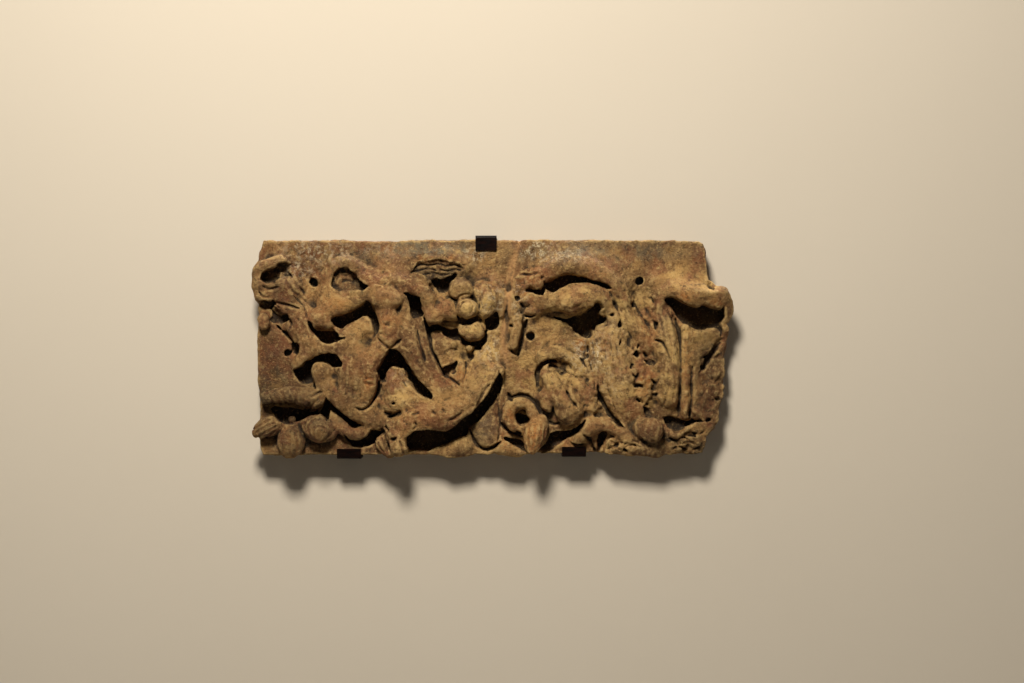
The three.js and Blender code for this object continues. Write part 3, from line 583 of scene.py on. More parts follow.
cuts([[(334, 101.5), (336, 121.5), (336, 149.5)], [(338.5, 99.5), (339.5, 123.5), (339.5, 151.5)],
    [(330, 104.5), (331, 119.5), (334, 131.5)], [(345.5, 99.5), (347.5, 121.5), (349.5, 147.5),
    (357.5, 169.5)], [(351.5, 97.5), (354.5, 119.5), (358.5, 145.5), (367.5, 167.5)], [(357.5, 104.5),
    (361.5, 123.5), (365.5, 141.5)], [(341.5, 97.5), (343.5, 121.5), (344.5, 143.5)]], 1.5, 1.5)
cuts([[(357.5, 55.5), (365.5, 69.5), (371.5, 85.5), (373.5, 99.5)], [(363.5, 53.5), (371.5, 67.5),
    (379.5, 81.5), (385.5, 97.5)], [(369.5, 53.5), (377.5, 65.5), (386.5, 79.5), (393.5, 95.5)],
    [(353.5, 59.5), (360.5, 73.5), (365.5, 89.5)], [(375.5, 49.5), (383.5, 61.5), (391.5, 73.5),
    (396.5, 85.5)], [(361.5, 47.5), (369.5, 59.5), (377.5, 73.5)]], 1.3, 0.7)
cuts([[(409.5, 68.5), (414.5, 81.5), (417.5, 99.5), (418.5, 119.5)], [(414.5, 73.5), (419.5, 87.5),
    (422.5, 103.5)], [(403.5, 67.5), (408.5, 83.5), (411.5, 103.5), (412.5, 123.5)], [(399.5, 71.5),
    (403.5, 87.5), (405.5, 105.5)], [(416.5, 125.5), (416.5, 143.5), (413.5, 161.5)], [(409.5, 129.5),
    (409.5, 147.5), (405.5, 163.5)], [(427.5, 89.5), (427.5, 105.5), (427, 121.5)]], 1.3, 1.3)
cuts([[(302, 21.5), (320, 19.5), (337.5, 26.5), (351.5, 39.5)], [(341.5, 41.5), (353.5, 53.5),
    (359.5, 69.5)]], 2.4, 0.8)
cuts([[(368.5, 64.5), (375.5, 77.5), (385.5, 89.5)], [(375.5, 59.5), (381.5, 73.5), (391.5, 85.5)],
    [(361.5, 67.5), (367.5, 81.5), (371.5, 95.5)]], 1.4, 0.9)
pit(-4, [(367.5, 112.5), (373.5, 113), (374.5, 110.5), (377.5, 107.5), (378.5, 103.5), (381, 101.5),
    (382, 105.5), (380.5, 109.5), (381.5, 113.5), (381.5, 118.5), (387.5, 119), (390.5, 121.5),
    (392.5, 124.5), (389.5, 124), (384.5, 120.5), (379.5, 119.5), (375.5, 117.5), (373.5, 114.5)],
    blend=0.8)
cuts([[(385.5, 111.5), (388.5, 116.5)], [(371.5, 128.5), (374.5, 123.5)], [(373.5, 133.5), (377.5, 136),
    (380.5, 132.5)], [(375.5, 146.5), (380.5, 144.5), (384.5, 146.5)], [(377.5, 157.5), (381.5, 161.5)],
    [(392.5, 138.5), (397.5, 143.5)], [(396.5, 99.5), (403.5, 101.5), (407.5, 109.5), (410.5, 117.5)],
    [(373.5, 62.5), (375.5, 66.5)]], 1.3, 3)
pit(0, [(395, 80.5), (399.5, 82), (399.5, 83.5), (397, 89), (396, 85.5)])
pit(-1, [(384.5, 165.5), (389.5, 168.5), (395.5, 173.5), (391.5, 177), (386.5, 174.5)])

# cut into the leaf below it: a folded band
pit(-5, [(279, 145.5), (277.5, 134.5), (279, 127.5), (283, 122), (289, 119), (295, 119), (298, 120.5),
    (291, 122), (286, 124.5), (282.5, 129.5), (280.5, 137.5), (280.5, 144.5)], blend=2)
cut([(308, 150.5), (312, 158.5), (319, 166.5)], 1.6, 4)
cuts([[(288, 133.5), (294, 147.5), (302, 161.5)], [(298, 131.5), (304, 143.5), (312, 155.5)],
    [(291, 125.5), (302, 127.5), (312, 133.5)], [(308, 137.5), (318, 149.5), (328, 161.5)]], 1.4, 1.2)
cuts([[(290, 127.5), (294, 124.5), (300, 127.5)], [(314, 133.5), (319, 137.5)], [(302, 133.5),
    (308, 131.5)], [(322, 117.5), (328, 126.5)]], 1.3, 2)
pit(-12, [(257.5, 173.5), (261, 171.5), (265, 173.5), (270, 176), (272, 178.5), (271, 181.5), (266, 184.5),
    (262, 185), (258, 182), (257, 177.5)], blend=2.5)
cut([(250, 152.5), (254, 160.5)], 1.6, 5)
cut([(254, 156.5), (262, 154.5), (269, 155.5), (274, 159), (278, 163.5), (282, 172.5)], 1.7, 5)
pit(2, [(295, 165.5), (296, 169.5), (298, 174.5), (300, 180.5), (299, 183.5), (292, 181), (288, 177.5),
    (290, 173.5), (293, 170.5)])
cut([(290, 180.5), (297, 183.5), (302, 181.5)], 1.2, 3)
pit(-12, [(291, 192), (297, 190.5), (302, 190), (313, 189.5), (319, 186.5), (323, 182.5), (327, 177),
    (328.5, 179.5), (325, 186), (320, 191.5), (311, 197), (303, 203), (295, 210), (287, 212), (278, 212.5),
    (283, 207), (288, 200)])
pit(-9, [(243, 196), (249, 195), (255, 197), (263, 198), (266, 202), (269, 209), (271, 213), (264, 212),
    (259, 208), (253, 204), (246, 201)])
cuts([[(243, 182.5), (246, 186), (252, 191), (259, 194), (264, 196)], [(258, 190), (263, 193)]], 1.4, 4)
cuts([[(271, 187), (270, 199), (273, 211)], [(277, 183.5), (276, 197), (274, 211)], [(283, 183.5),
    (282, 197), (276, 210)], [(287, 187), (285, 199), (279, 208)]], 1.1, 1.1)
pit(-9, [(340.5, 195), (343.5, 191), (347.5, 191), (348.5, 194), (345.5, 201), (343.5, 208), (341.5, 212),
    (338.5, 212), (339.5, 206), (338.5, 200)])
cut([(325, 194), (332, 199), (335, 206), (338.5, 212)], 1.5, 4)
cuts([[(351.5, 200), (357.5, 202.5), (364.5, 201.5)], [(367.5, 206), (374.5, 204), (382.5, 206.5)],
    [(349.5, 208), (356.5, 206.5), (362.5, 209)], [(373.5, 199), (380.5, 202)]], 1.3, 2)
scoop([(359.5, 205, 5, 2.5), (367.5, 208, 4, 2)])
scoop([(377.5, 204, 5, 2)])
pit(-6, [(341.5, 155.5), (344.5, 158.5), (348.5, 165.5), (353.5, 172.5), (359.5, 179.5), (365.5, 186.5),
    (360.5, 185), (354.5, 179.5), (349.5, 172.5), (344.5, 163.5)])
cut([(339.5, 144.5), (341.5, 154.5), (344.5, 161.5)], 1.4, 2.5)
cuts([[(411.5, 198), (417.5, 200), (424.5, 197), (430.5, 199)], [(423.5, 203), (430.5, 201), (438.5, 204)],
    [(414.5, 208), (420.5, 206), (429.5, 209)], [(434.5, 192), (440.5, 194), (445.5, 191)], [(435.5, 209),
    (441.5, 206)]], 1.3, 2)
scoop([(417.5, 202, 5, 3), (423.5, 203, 5, 2)])
scoop([(431.5, 195, 5, 2.5), (438.5, 197, 4, 2.5)])
scoop([(429.5, 207, 4, 2)])

# cut into the leaf at the right end, whose tip rolls forward over a hollow
pit(-11, [(405.5, 59.5), (407.5, 57.5), (414.5, 57), (421.5, 60), (428.5, 63.5), (436.5, 67),
    (439.5, 66.5), (443.5, 64), (447.5, 64.5), (452.5, 66.5), (461.5, 68), (465.5, 64.5), (467.5, 68.5),
    (467.5, 76.5), (463.5, 83), (465.5, 89.5), (463.5, 94.5), (460.5, 90.5), (455, 87.5), (449.5, 88.5),
    (445.5, 89.5), (439.5, 88.5), (434.5, 87), (426.5, 83.5), (421.5, 78), (416, 71), (410.5, 64.5)])
pit(-6, [(466, 98.5), (462.5, 104.5), (458, 110), (452.5, 118), (446.5, 126.5), (444.5, 125.5),
    (450, 116.5), (455, 108.5), (460.5, 101.5)], blend=1.5)
cut([(446.5, 124.5), (442.5, 129.5), (438.5, 132.5)], 1.3, 2)
cuts([[(435.5, 123.5), (441.5, 117.5), (449.5, 115.5)], [(441.5, 131.5), (447.5, 139.5), (445.5, 149.5)],
    [(437.5, 143.5), (441.5, 155.5), (438.5, 169.5)]], 1.2, 1.2)
cuts([[(401.5, 101.5), (409.5, 110.5), (411.5, 121.5)], [(413.5, 71.5), (419.5, 85.5), (422.5, 99.5)],
    [(403.5, 65.5), (411.5, 75.5), (417.5, 87.5)], [(393.5, 59.5), (397.5, 65.5), (393.5, 71.5)]], 1.3, 1.2)
cuts([[(438.5, 119.5), (444.5, 116.5), (451.5, 117.5)], [(440.5, 125.5), (447.5, 128.5)], [(441.5, 144.5),
    (451.5, 141.5)], [(439.5, 157.5), (449.5, 155.5)], [(445.5, 168.5), (455.5, 165.5)]], 1.8, 2.2)
pit(-8, [(457.5, 158.5), (461.5, 156.5), (466.5, 157.5), (463.5, 162), (459.5, 161.5)])
pit(-9, [(405.5, 177.5), (409.5, 175.5), (415.5, 176.5), (421.5, 178.5), (429.5, 180.5), (433.5, 178.5),
    (439.5, 179), (446.5, 179.5), (451.5, 176.5), (454.5, 177.5), (453.5, 181.5), (447.5, 181.5),
    (439.5, 182), (432.5, 183.5), (428.5, 186), (424.5, 189.5), (417.5, 192), (411.5, 188),
    (407.5, 183.5)], blend=3)
scoop([(416.5, 172, 13, 8), (417, 183, 6, 8)], blend=4)

# the broken right end slopes back
BREAK_TILT = 0.42
BREAK_ALONG = 434
BREAK_PROUD = 8
slope = proud[None, None, :] - BREAK_PROUD + (ALONG[:, :, None] - BREAK_ALONG) * BREAK_TILT
slope = slope / math.hypot(1, BREAK_TILT)
slope = slope - np.clip((100 - DOWN) * 0.35, 0, 40)[:, :, None] + ragged * 1.5
clay = soft_higher(clay, slope, 2.0)

# the rib that runs down the broken end between two worn grooves, and the crack beside it
cut([(418, 78), (421, 100), (421.5, 130), (420.5, 176)], 2.2, 2.2)
cut([(434, 126), (433, 140), (433.5, 156), (431.5, 177)], 1.6, 2.8)
cut([(428, 92), (428, 140), (426.5, 178)], 2.6, -1.4)
cut([(463, 102), (457, 110), (450, 118), (446, 127), (441, 132)], 1.5, 3.0)

# four nail holes, drilled through the wet clay
NAIL_RADIUS = 4.5
for a, d in [(56.5, 41.5), (381, 40.5), (272.5, 96), (29.5, 112)]:
    hole = np.hypot(ALONG - a, DOWN - d) - NAIL_RADIUS
    clay = soft_higher(clay, -hole[:, :, None] + 0 * clay, 0.8)

# where the two lower clips' lips lie on the face, the relief is pared away
LIP_HALF_WIDTH = 12.8
for a, top in ((91, 207.5), (316, 203)):
    seat = np.maximum(np.abs(ALONG - a) - LIP_HALF_WIDTH, top - DOWN)
    seat = np.maximum(seat[:, :, None], -proud[None, None, :])
    clay = soft_higher(clay, -seat, 0.6)

# the repair: a shallow channel filled with pale paste, and the fine crack that runs on below it
repair_line = [(262, -2), (255, 21.5), (251, 49.5), (247, 89.5), (245, 119.5), (248, 128)]
cut(repair_line, 3.2, 1.3, through=True)
cuts([[(239, 159.5), (242, 180), (239, 206.5)], [(241, 130), (243, 145), (240, 160)]], 0.8, 1.5)

# age: lumpy hand-worked clay, finer pitting, and rough broken surfaces
rough_places = patch(
    (182, 30, 26, 10, 1.0), (92, 38, 16, 12, 0.8), (452, 150, 24, 50, 1.0), (460, 90, 12, 20, 0.5),
    (140, 150, 18, 26, 1.0), (314, 66, 20, 10, 1.0), (432, 204, 34, 14, 1.0), (384, 140, 20, 30, 0.9),
    (268, 40, 24, 12, 1.0), (128, 38, 10, 8, 0.7), (50, 24, 44, 22, 0.6), (366, 206, 34, 9, 1.0),
    (262, 70, 16, 30, 0.6), (134, 190, 20, 24, 0.8), (250, 190, 20, 24, 0.6), (324, 140, 30, 40, 0.5),
    (204, 110, 20, 16, 0.6), (398, 70, 12, 16, 0.7),
)
fade_back = np.clip((proud + 24) / 14, 0.12, 1)[None, None, :]
room, off_repair = line_distance(repair_line, 12)
paste = np.zeros((len(along), len(down)), np.float32)
paste[room] = np.exp(-((off_repair / 3.6) ** 4))
roughness = ((0.6 + 0.9 * rough_places) * (1 - 0.7 * paste))[:, :, None] * fade_back
clay += 0.9 * lumps(11, 18) * fade_back
clay += roughness * (1.1 * lumps(12, 7.5) - 1.0 * np.abs(lumps(15, 5)) + 0.3 + 0.6 * lumps(13, 3.2))
clay += roughness * (0.55 * lumps(14, 2.1) - 0.5 * np.abs(lumps(16, 2.8)) + 0.15)


def clay_surface(field):
    """The surface where the block's distance is 0, as points and four-sided faces. Each cell of the grid that
    the surface crosses gets one point, the mean of where it crosses the cell's twelve edges, and each grid
    edge that it crosses gets the face that joins the four cells around it."""
    solid = field < 0
    shape = [n - 1 for n in field.shape]
    counts = np.zeros(shape, np.int8)
    for i, j, k in np.ndindex(2, 2, 2):
        counts += solid[i:i + shape[0], j:j + shape[1], k:k + shape[2]]
    cells = np.argwhere((counts > 0) & (counts < 8))
    number = np.full(shape, -1, np.int32)
    number[tuple(cells.T)] = np.arange(len(cells))
    total = np.zeros((len(cells), 3), np.float32)
    crossed = np.zeros(len(cells), np.float32)
    for axis in range(3):
        for edge in np.ndindex(2, 2):
            start = np.insert(edge, axis, 0)
            end = np.insert(edge, axis, 1)
            a = field[tuple((cells + start).T)]
            b = field[tuple((cells + end).T)]
            hit = (a < 0) != (b < 0)
            share = np.where(hit, a / np.where(hit, a - b, 1), 0)
            total += hit[:, None] * (start + share[:, None] * (end - start))
            crossed += hit
    points = cells + total / crossed[:, None]
    faces = []
    for axis in range(3):
        one, two = [a for a in range(3) if a != axis]
        low = np.take(solid, range(field.shape[axis] - 1), axis)
        high = np.take(solid, range(1, field.shape[axis]), axis)
        edges = np.argwhere(low != high)
        edges = edges[(edges[:, one] > 0) & (edges[:, two] > 0)]
        edges = edges[(edges[:, one] < shape[one]) & (edges[:, two] < shape[two])]
        corners = []
        for back_one, back_two in ((1, 1), (0, 1), (0, 0), (1, 0)):
            cell = edges.copy()
            cell[:, one] -= back_one
            cell[:, two] -= back_two
            corners.append(number[tuple(cell.T)])
        quads = np.stack(corners, 1)
        forward = low[tuple(edges.T)] != (axis == 1)
        faces.append(np.where(forward[:, None], quads, quads[:, ::-1]))
    return points, np.vstack(faces)


def to_world(points):
    """From grid cells to metres: along runs right, down runs down and proud runs towards the viewer."""
    a, d, p = [line[0] + points[:, i] * CLAY_STEP for i, line in enumerate((along, down, proud))]
    return np.stack([SLAB_LEFT + a, -(SLAB_FACE + p), SLAB_TOP - d], 1) / 1000


def mesh_object(name, points, faces):
    """A mesh object with these points and four-sided faces, filled in whole arrays."""
    mesh = bpy.data.meshes.new(name)
    mesh.vertices.add(len(points))
    mesh.vertices.foreach_set("co", np.asarray(points, np.float32).ravel())
    mesh.loops.add(faces.size)
    mesh.loops.foreach_set("vertex_index", faces.astype(np.int32).ravel())
    mesh.polygons.add(len(faces))
    mesh.polygons.foreach_set("loop_start", np.arange(0, faces.size, faces.shape[1], dtype=np.int32))
    mesh.update(calc_edges=True)
    piece = bpy.data.objects.new(name, mesh)
    bpy.context.scene.collection.objects.link(piece)
    return piece


def largest_piece(points, faces):
    """Drops loose crumbs: every point takes the lowest number found among the points it is joined to, until
    nothing changes, and the number that most faces share is kept."""
    group = np.arange(len(points))
    changed = True
    while changed:
        before = group.copy()
        np.minimum.at(group, faces.ravel(), np.repeat(group[faces].min(1), 4))
        group = group[group]
        changed = (group != before).any()
    shared = np.bincount(group[faces[:, 0]]).argmax()
    kept, faces = np.unique(faces[group[faces[:, 0]] == shared], return_inverse=True)
    return points[kept], faces.reshape(-1, 4)


points, faces = largest_piece(*clay_surface(clay))
relief = mesh_object("relief_slab_clay", to_world(points), faces)
thinning = relief.modifiers.new("thinning", "DECIMATE")
thinning.ratio = min(1.0, CLAY_TRIANGLES / (2 * len(faces)))
bpy.context.view_layer.update()
thinned = bpy.data.meshes.new_from_object(relief.evaluated_get(bpy.context.evaluated_depsgraph_get()))
relief.modifiers.clear()
relief.data = thinned
relief.data.name = "relief_slab_clay"
relief.data.polygons.foreach_set("use_smooth", np.ones(len(relief.data.polygons), bool))


def blurred(field, reach):
    """A running mean along each axis in turn, reach cells to either side."""
    for axis in range(field.ndim):
        padded = np.concatenate([np.repeat(field.take([0], axis), reach + 1, axis), field,
                                 np.repeat(field.take([-1], axis), reach, axis)], axis)
        total = np.cumsum(padded, axis, dtype=np.float32)
        n = field.shape[axis]
        width = 2 * reach + 1
        field = (total.take(range(width, width + n), axis) - total.take(range(0, n), axis)) / width
    return field


def at_points(field, places):
    """The field's value at each place, straight-line between the grid's corners. A field on the face alone
    is read by along and down."""
    ways = field.ndim
    whole = np.clip(np.floor(places[:, :ways]).astype(int), 0, np.array(field.shape) - 2)
    part = np.clip(places[:, :ways] - whole, 0, 1)
    value = 0
    for corner in np.ndindex(*(2,) * ways):
        weight = np.prod(np.where(np.array(corner), part, 1 - part), axis=1)
        value = value + weight * field[tuple((whole + corner).T)]
    return value


places = np.empty(3 * len(relief.data.vertices), np.float32)
relief.data.vertices.foreach_get("co", places)
places = places.reshape(-1, 3) * 1000
on_grid = np.stack([
    places[:, 0] - SLAB_LEFT - along[0],
    SLAB_TOP - places[:, 2] - down[0],
    -places[:, 1] - SLAB_FACE - proud[0],
], 1) / CLAY_STEP

NEAR_REACH = 2.5
WIDE_REACH = 7
filled = np.clip(0.5 - clay / CLAY_STEP, 0, 1)
height_here = proud[0] + on_grid[:, 2] * CLAY_STEP
inside_slab = np.clip(np.minimum(4 - height_here, height_here + 22) / 8, 0, 1)

face_marks = {
    # painted shade: the floors of the deep pits, darkened where shadow falls on them
    "pit_shade": at_points(pit_floor_shade, on_grid) * inside_slab,
    # how closely the clay wraps round each point, near and wide; used below for worn edges and painted shade
    "near_hollow": at_points(blurred(filled, max(1, round(NEAR_REACH / CLAY_STEP))), on_grid),
    "wide_hollow": at_points(blurred(filled, max(1, round(WIDE_REACH / CLAY_STEP))), on_grid),
    "paste": paste,
    "lime": patch(
        (60, 10, 36, 14, 0.6), (40, 26, 20, 14, 0.6), (278, 8, 20, 10, 1), (216, 14, 12, 9, 0.6),
        (300, 16, 40, 8, 0.4), (120, 8, 30, 6, 0.3), (232, 60, 16, 20, 0.5), (262, 62, 10, 24, 0.5),
        (350, 120, 20, 50, 0.25), (236, 108, 16, 18, 0.5), (330, 114, 20, 16, 0.9),
        (140, 140, 12, 10, 0.5),
    ),
    "patina": patch(
        (170, 8, 60, 10, 1), (340, 12, 90, 12, 0.7), (225, 190, 16, 26, 0.45), (110, 14, 30, 8, 0.6),
        (410, 80, 10, 20, 0.5), (350, 60, 20, 30, 0.4),
    ),
    "ochre": patch(
        (112, 140, 6, 9, 0.9), (198, 132, 12, 12, 0.9), (388, 142, 10, 14, 0.9), (324, 106, 10, 8, 1),
        (424, 58, 11, 5, 1), (455, 63, 10, 5, 0.9), (80, 64, 14, 7, 0.5), (268, 56, 10, 10, 0.5),
        (270, 40, 24, 12, 0.4), (178, 18.5, 22, 4, 1), (428, 140, 6, 50, 0.6), (390, 90, 12, 20, 0.4),
        (130, 82, 12, 9, 0.4), (160, 180, 24, 12, 0.3), (305, 205, 14, 8, 0.5), (276, 196, 11, 17, 0.9),
        (250, 178, 9, 12, 0.7), (250, 200, 20, 8, 0.5),
    ),
    # paler clay, together with a painted pool of light brightening the middle and right
    "paler_and_lit": patch(
        (226, 118, 30, 26, 0.95), (415, 120, 22, 44, 0.85), (340, 70, 60, 30, 1.0),
        (300, 130, 44, 30, 0.8), (366, 130, 36, 50, 0.7), (150, 150, 30, 16, 0.7), (222, 76, 32, 44, 1.0),
        (434, 46, 34, 18, 0.9), (430, 90, 30, 30, 0.8), (258, 150, 16, 30, 0.5), (96, 60, 20, 12, 0.4),
        (190, 200, 40, 10, 0.5), (420, 40, 26, 12, 0.6), (105, 96, 20, 10, 0.4),
    ),
    "ruddy": patch(
        (70, 18, 70, 26, 0.65), (20, 40, 24, 30, 0.5), (10, 110, 24, 50, 0.7), (60, 80, 30, 20, 0.6),
        (50, 190, 46, 24, 0.7), (128, 80, 14, 40, 0.5), (110, 130, 30, 30, 0.55), (160, 120, 20, 30, 0.5),
        (240, 40, 26, 14, 0.5), (278, 36, 20, 8, 0.7), (182, 16, 24, 4, 1), (320, 60, 24, 8, 0.6),
        (440, 52, 26, 8, 0.5), (244, 180, 14, 20, 0.6), (345, 190, 24, 12, 0.6), (396, 188, 16, 12, 0.6),
        (430, 40, 24, 12, 0.4), (445, 20, 10, 14, 0.7), (385, 110, 14, 30, 0.5), (450, 140, 14, 40, 0.4),
        (180, 170, 40, 10, 0.35), (200, 30, 30, 12, 0.3),
    ),
    # grime, together with painted shade darkening the scar's pit, the shell and other hollows
    "grime_and_shade": patch(
        (40, 175, 60, 44, 0.75), (10, 150, 24, 60, 0.85), (60, 14, 90, 20, 0.4), (330, 8, 130, 14, 0.3),
        (20, 60, 26, 30, 0.5), (30, 190, 40, 26, 0.6), (182, 33, 25, 11, 1.0), (430, 205, 34, 14, 0.8),
        (395, 196, 16, 14, 0.5), (92, 40, 15, 10, 0.6), (50, 12, 50, 16, 0.3), (450, 145, 20, 60, 0.6),
        (60, 206, 60, 8, 0.5),
    ),
}
for mark, values in face_marks.items():
    values = at_points(values, on_grid) if values.ndim == 2 else values
    held = relief.data.attributes.new(mark, "FLOAT", "POINT")
    held.data.foreach_set("value", np.asarray(values, np.float32))


class Nodes:
    """A material's node tree, written as short calls that each make a node and join its inputs."""

    def __init__(self, name):
        self.material = bpy.data.materials.new(name)
        self.material.use_nodes = True
        self.tree = self.material.node_tree
        self.shader = self.tree.nodes["Principled BSDF"]

    def join(self, socket, value):
        """Links what comes out of a node, or sets a plain value. A colour gets its alpha."""
        if isinstance(value, bpy.types.NodeSocket):
            self.tree.links.new(value, socket)
        elif socket.type == "RGBA":
            socket.default_value = (*value, 1)
        else:
            socket.default_value = value

    def node(self, kind, inputs=(), **settings):
        """A new node with these settings and inputs."""
        made = self.tree.nodes.new(kind)
        for key, value in settings.items():
            setattr(made, key, value)
        for socket, value in dict(inputs).items():
            self.join(made.inputs[socket], value)
        return made

    def wire(self, socket, value):
        """Joins a value to the material's shader."""
        self.join(self.shader.inputs[socket], value)

    def mark(self, name):
        """One of the marks kept on the mesh's points."""
        return self.node("ShaderNodeAttribute", attribute_name=name).outputs["Fac"]

    def grain(self, scale, detail=4, rough=0.6, stretch=None):
        """Cloudy noise on the piece's own coordinates, cycles per metre."""
        place = self.node("ShaderNodeTexCoord").outputs["Object"]
        if stretch:
            place = self.node("ShaderNodeMapping", {"Vector": place, "Scale": stretch}).outputs["Vector"]
        return self.node(
            "ShaderNodeTexNoise", {"Vector": place, "Scale": scale, "Detail": detail, "Roughness": rough}
        ).outputs["Fac"]

    def ramp(self, value, low, high, to_low=0.0, to_high=1.0):
        """The value between low and high, spread over a new range with soft ends."""
        return self.node(
            "ShaderNodeMapRange",
            {"Value": value, "From Min": low, "From Max": high, "To Min": to_low, "To Max": to_high},
            interpolation_type="SMOOTHSTEP",
        ).outputs["Result"]

    def plus(self, a, b):
        """The sum of two values."""
        return self.node("ShaderNodeMath", {0: a, 1: b}, operation="ADD").outputs["Value"]

    def times(self, a, b):
        """The product of two values."""
        return self.node("ShaderNodeMath", {0: a, 1: b}, operation="MULTIPLY").outputs["Value"]

    def blend(self, share, first, second):
        """The first colour, turned into the second by a share from 0 to 1."""
        return self.node("ShaderNodeMix", {0: share, 6: first, 7: second}, data_type="RGBA").outputs[2]


CLAY_TAN = (0.34, 0.188, 0.064)
CLAY_BROWN = (0.135, 0.065, 0.024)
CLAY_PALE = (0.47, 0.31, 0.125)
# the gold of paler clay, also used for the painted pool of light
LIT_CLAY_GOLD = (0.56, 0.36, 0.125)
CLAY_RED = (0.20, 0.068, 0.026)
# a dark earth colour, also the painted shade in creases, hollows and pits
DARK_EARTH_AND_SHADE = (0.020, 0.012, 0.006)
LIME_WHITE = (0.66, 0.54, 0.35)
PATINA_GREY = (0.16, 0.130, 0.080)
OCHRE = (0.37, 0.135, 0.028)
PASTE_ORANGE = (0.46, 0.25, 0.10)

earth = Nodes("worn_terracotta")
broad = earth.grain(22, 3)
cloud = earth.grain(75, 6, 0.7)
speck = earth.grain(430, 4, 0.75)
blotch = earth.grain(160, 5, 0.75)
near = earth.mark("near_hollow")
wide = earth.mark("wide_hollow")
patchy = {
    "paler_and_lit": earth.ramp(earth.grain(66, 6, 0.7), 0.40, 0.58, 0.15, 1.0),
    "ruddy": earth.ramp(earth.grain(48, 5), 0.38, 0.58),
    "ochre": earth.ramp(cloud, 0.35, 0.6),
    "patina": earth.ramp(earth.grain(60, 4), 0.36, 0.56),
    "lime": earth.ramp(earth.grain(210, 5, 0.75), 0.48, 0.56),
    "paste": earth.ramp(earth.grain(140, 4), 0.3, 0.5, 0.5, 0.95),
    "grime_and_shade": earth.ramp(cloud, 0.35, 0.65, 0.3, 0.9),
    "pit_shade": 0.85,
}
spread = {mark: earth.times(earth.mark(mark), share) for mark, share in patchy.items()}

# each layer of colour covers those before it by its share
colour = earth.blend(earth.ramp(broad, 0.40, 0.60), CLAY_BROWN, CLAY_TAN)
for share, tint in (
    (earth.ramp(cloud, 0.52, 0.66, 0, 0.8), CLAY_PALE),
    (earth.ramp(cloud, 0.46, 0.34, 0, 0.7), CLAY_BROWN),
    # paler golden clay, partly a painted pool of light over the middle and right
    (spread["paler_and_lit"], LIT_CLAY_GOLD),
    (spread["ruddy"], CLAY_RED),
    (spread["ochre"], OCHRE),
    (spread["patina"], PATINA_GREY),
    (spread["lime"], LIME_WHITE),
    # paler worn edges where the clay bulges, partly a painted highlight on them
    (earth.ramp(near, 0.48, 0.37, 0, 0.75), CLAY_PALE),
    (earth.ramp(earth.grain(118, 6, 0.7), 0.51, 0.62, 0, 0.75), CLAY_BROWN),
    (earth.ramp(earth.grain(38, 5, 0.65), 0.50, 0.66, 0, 0.7), CLAY_RED),
    (earth.ramp(blotch, 0.54, 0.66, 0, 0.6), DARK_EARTH_AND_SHADE),
    (earth.ramp(blotch, 0.46, 0.35, 0, 0.7), CLAY_PALE),
    (spread["paste"], PASTE_ORANGE),
    # grime, partly painted shade in hollows
    (spread["grime_and_shade"], DARK_EARTH_AND_SHADE),
    # painted shade: darker in creases and hollows, where the clay closes round
    (earth.ramp(near, 0.54, 0.68, 0, 0.7), DARK_EARTH_AND_SHADE),
    (earth.ramp(wide, 0.55, 0.70, 0, 0.85), DARK_EARTH_AND_SHADE),
    # painted shade: the deep pits' floors turned near black
    (spread["pit_shade"], DARK_EARTH_AND_SHADE),
    (earth.ramp(speck, 0.54, 0.68, 0, 0.45), DARK_EARTH_AND_SHADE),
    (earth.ramp(speck, 0.46, 0.34, 0, 0.4), CLAY_PALE),
):
    colour = earth.blend(share, colour, tint)
earth.wire("Base Color", colour)
earth.wire("Roughness", earth.ramp(cloud, 0.3, 0.7, 0.95, 0.7))
earth.wire("Specular IOR Level", 0.35)

# fine pits and grit, as bump alone
PIT_SCALE = 380
BUMP_HEIGHT = 0.0030
own_place = earth.node("ShaderNodeTexCoord").outputs["Object"]
cells = earth.node("ShaderNodeTexVoronoi", {"Vector": own_place, "Scale": PIT_SCALE})
pitting = earth.times(earth.ramp(cells.outputs["Distance"], 0.05, 0.32), 0.25)
grit = earth.plus(earth.times(earth.grain(900, 3, 0.6), 0.25), earth.times(earth.grain(260, 5, 0.7), 0.8))
bump = earth.node("ShaderNodeBump", {
    "Height": earth.plus(grit, pitting), "Strength": 1.0, "Distance": BUMP_HEIGHT,
})
earth.wire("Normal", bump.outputs["Normal"])
relief.data.materials.append(earth.material)
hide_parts("relief_slab")
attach(relief, "root")


# The clips
# Three strips of dark coated steel, each bent twice: a leg behind the slab, a shelf across its
# edge and a short lip over its face. The top one hooks down and the two lower ones carry the weight.
CLIP_DARK = (0.002, 0.0015, 0.0015)
CLIP_BROWN = (0.009, 0.003, 0.002)

steel = Nodes("dark_coated_steel")
streak = steel.grain(90, 4, 0.6, stretch=(1, 1, 6))
scratch = steel.node("ShaderNodeBump", {"Height": streak, "Strength": 0.15, "Distance": 0.0003})
steel.wire("Base Color", steel.blend(steel.ramp(streak, 0.35, 0.7), CLIP_DARK, CLIP_BROWN))
steel.wire("Specular IOR Level", 0.06)
steel.wire("Roughness", steel.ramp(steel.grain(300, 3), 0.3, 0.7, 0.28, 0.42))
steel.wire("Normal", scratch.outputs["Normal"])
for name in ("clip_top", "clip_bottom_left", "clip_bottom_right"):
    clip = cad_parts[name]
    clip.data.materials.clear()
    clip.data.materials.append(steel.material)


# The backdrop, the floor, the light and the camera
# A plain pale backdrop that shows from its front alone, a pale floor far below, one soft lamp high up in
# front and left of the middle, a weak fill, and a lamp behind for the back views.
BACKDROP_PALE = (0.60, 0.54, 0.46)
FLOOR_PALE = (0.6, 0.58, 0.54)
SHEET_MOTTLE = (0.5, 0.44, 0.36)
BACKDROP_HALF_WIDTH = 2.5
BACKDROP_TOP = 1.8
FLOOR_HALF_WIDTH = 4
FLOOR_LEVEL = -1.4
SLAB_MIDDLE = (0, 0, -0.1)


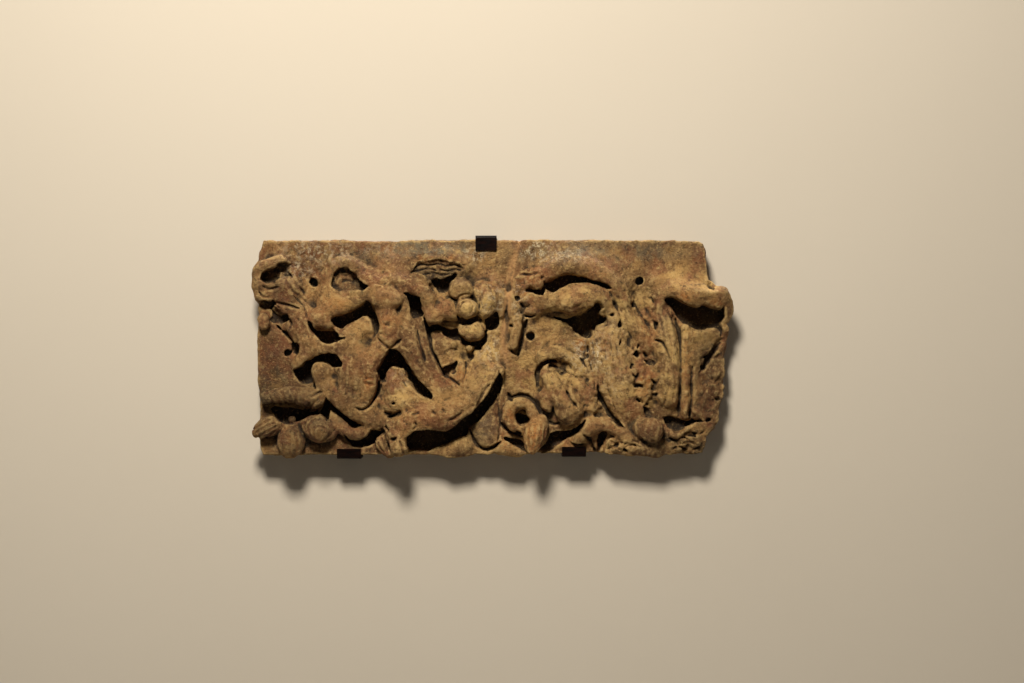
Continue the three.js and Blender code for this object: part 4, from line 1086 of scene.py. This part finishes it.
def plain_sheet(name, corners, colour, one_sided=False):
    """A flat sheet with a plain matt finish. One-sided, it can't be seen from behind."""
    sheet = mesh_object(name, corners, np.array([[0, 1, 2, 3]]))
    finish = Nodes(name)
    mottle = finish.grain(3, 2)
    finish.wire("Base Color", finish.blend(finish.ramp(mottle, 0.3, 0.7, 0, 0.06), colour, SHEET_MOTTLE))
    finish.wire("Roughness", 0.95)
    if one_sided:
        behind = finish.node("ShaderNodeNewGeometry").outputs["Backfacing"]
        clear = finish.node("ShaderNodeBsdfTransparent").outputs["BSDF"]
        seen = finish.shader.outputs["BSDF"]
        mixed = finish.node("ShaderNodeMixShader", {0: behind, 1: seen, 2: clear})
        output = next(n for n in finish.tree.nodes if n.type == "OUTPUT_MATERIAL")
        finish.tree.links.new(mixed.outputs["Shader"], output.inputs["Surface"])
        sheet.visible_shadow = False
    sheet.data.materials.append(finish.material)


plain_sheet("backdrop", [
    (-BACKDROP_HALF_WIDTH, 0, FLOOR_LEVEL), (BACKDROP_HALF_WIDTH, 0, FLOOR_LEVEL),
    (BACKDROP_HALF_WIDTH, 0, BACKDROP_TOP), (-BACKDROP_HALF_WIDTH, 0, BACKDROP_TOP),
], BACKDROP_PALE, one_sided=True)
plain_sheet("floor", [
    (-FLOOR_HALF_WIDTH, -FLOOR_HALF_WIDTH, FLOOR_LEVEL), (FLOOR_HALF_WIDTH, -FLOOR_HALF_WIDTH, FLOOR_LEVEL),
    (FLOOR_HALF_WIDTH, FLOOR_HALF_WIDTH, FLOOR_LEVEL), (-FLOOR_HALF_WIDTH, FLOOR_HALF_WIDTH, FLOOR_LEVEL),
], FLOOR_PALE)


def lamp(name, place, aim, watts, size, warmth):
    """A square area lamp at a place, turned to shine at aim."""
    light = bpy.data.lights.new(name, "AREA")
    light.energy = watts
    light.color = warmth
    light.size = size
    holder = bpy.data.objects.new(name, light)
    holder.location = place
    facing = np.array(aim, float) - np.array(place, float)
    level = math.hypot(facing[0], facing[1])
    holder.rotation_euler = (math.pi / 2 + math.atan2(facing[2], level), 0, math.atan2(-facing[0], facing[1]))
    bpy.context.scene.collection.objects.link(holder)
    return light


lamp("key_lamp", place=(-0.206, -1.21, 0.95), aim=(0.02, 0, -0.12), watts=34.5, size=0.3,
    warmth=(1.0, 0.93, 0.80))
lamp("fill_lamp", place=(0.6, -2.4, 0.1), aim=SLAB_MIDDLE, watts=0.9, size=1.6, warmth=(1.0, 0.95, 0.88))
back = lamp("back_lamp", place=(0.4, 0.7, 2.0), aim=SLAB_MIDDLE, watts=60, size=0.8, warmth=(1.0, 0.96, 0.9))
back.cycles.max_bounces = 0

world = bpy.data.worlds.new("studio")
world.use_nodes = True
glow = world.node_tree.nodes["Background"]
glow.inputs["Color"].default_value = (0.9, 0.86, 0.8, 1)
glow.inputs["Strength"].default_value = 0.05
bpy.context.scene.world = world

LENS_LENGTH = 70.3
SENSOR_WIDTH = 36
CAMERA_PLACE = (0.026, -2.0303, -0.09075)

camera = bpy.data.objects.new("camera", bpy.data.cameras.new("camera"))
camera.data.lens = LENS_LENGTH
camera.data.sensor_width = SENSOR_WIDTH
camera.location = CAMERA_PLACE
camera.rotation_euler = (math.pi / 2, 0, 0)
bpy.context.scene.collection.objects.link(camera)
bpy.context.scene.camera = camera
bpy.context.scene.view_settings.view_transform = "Standard"
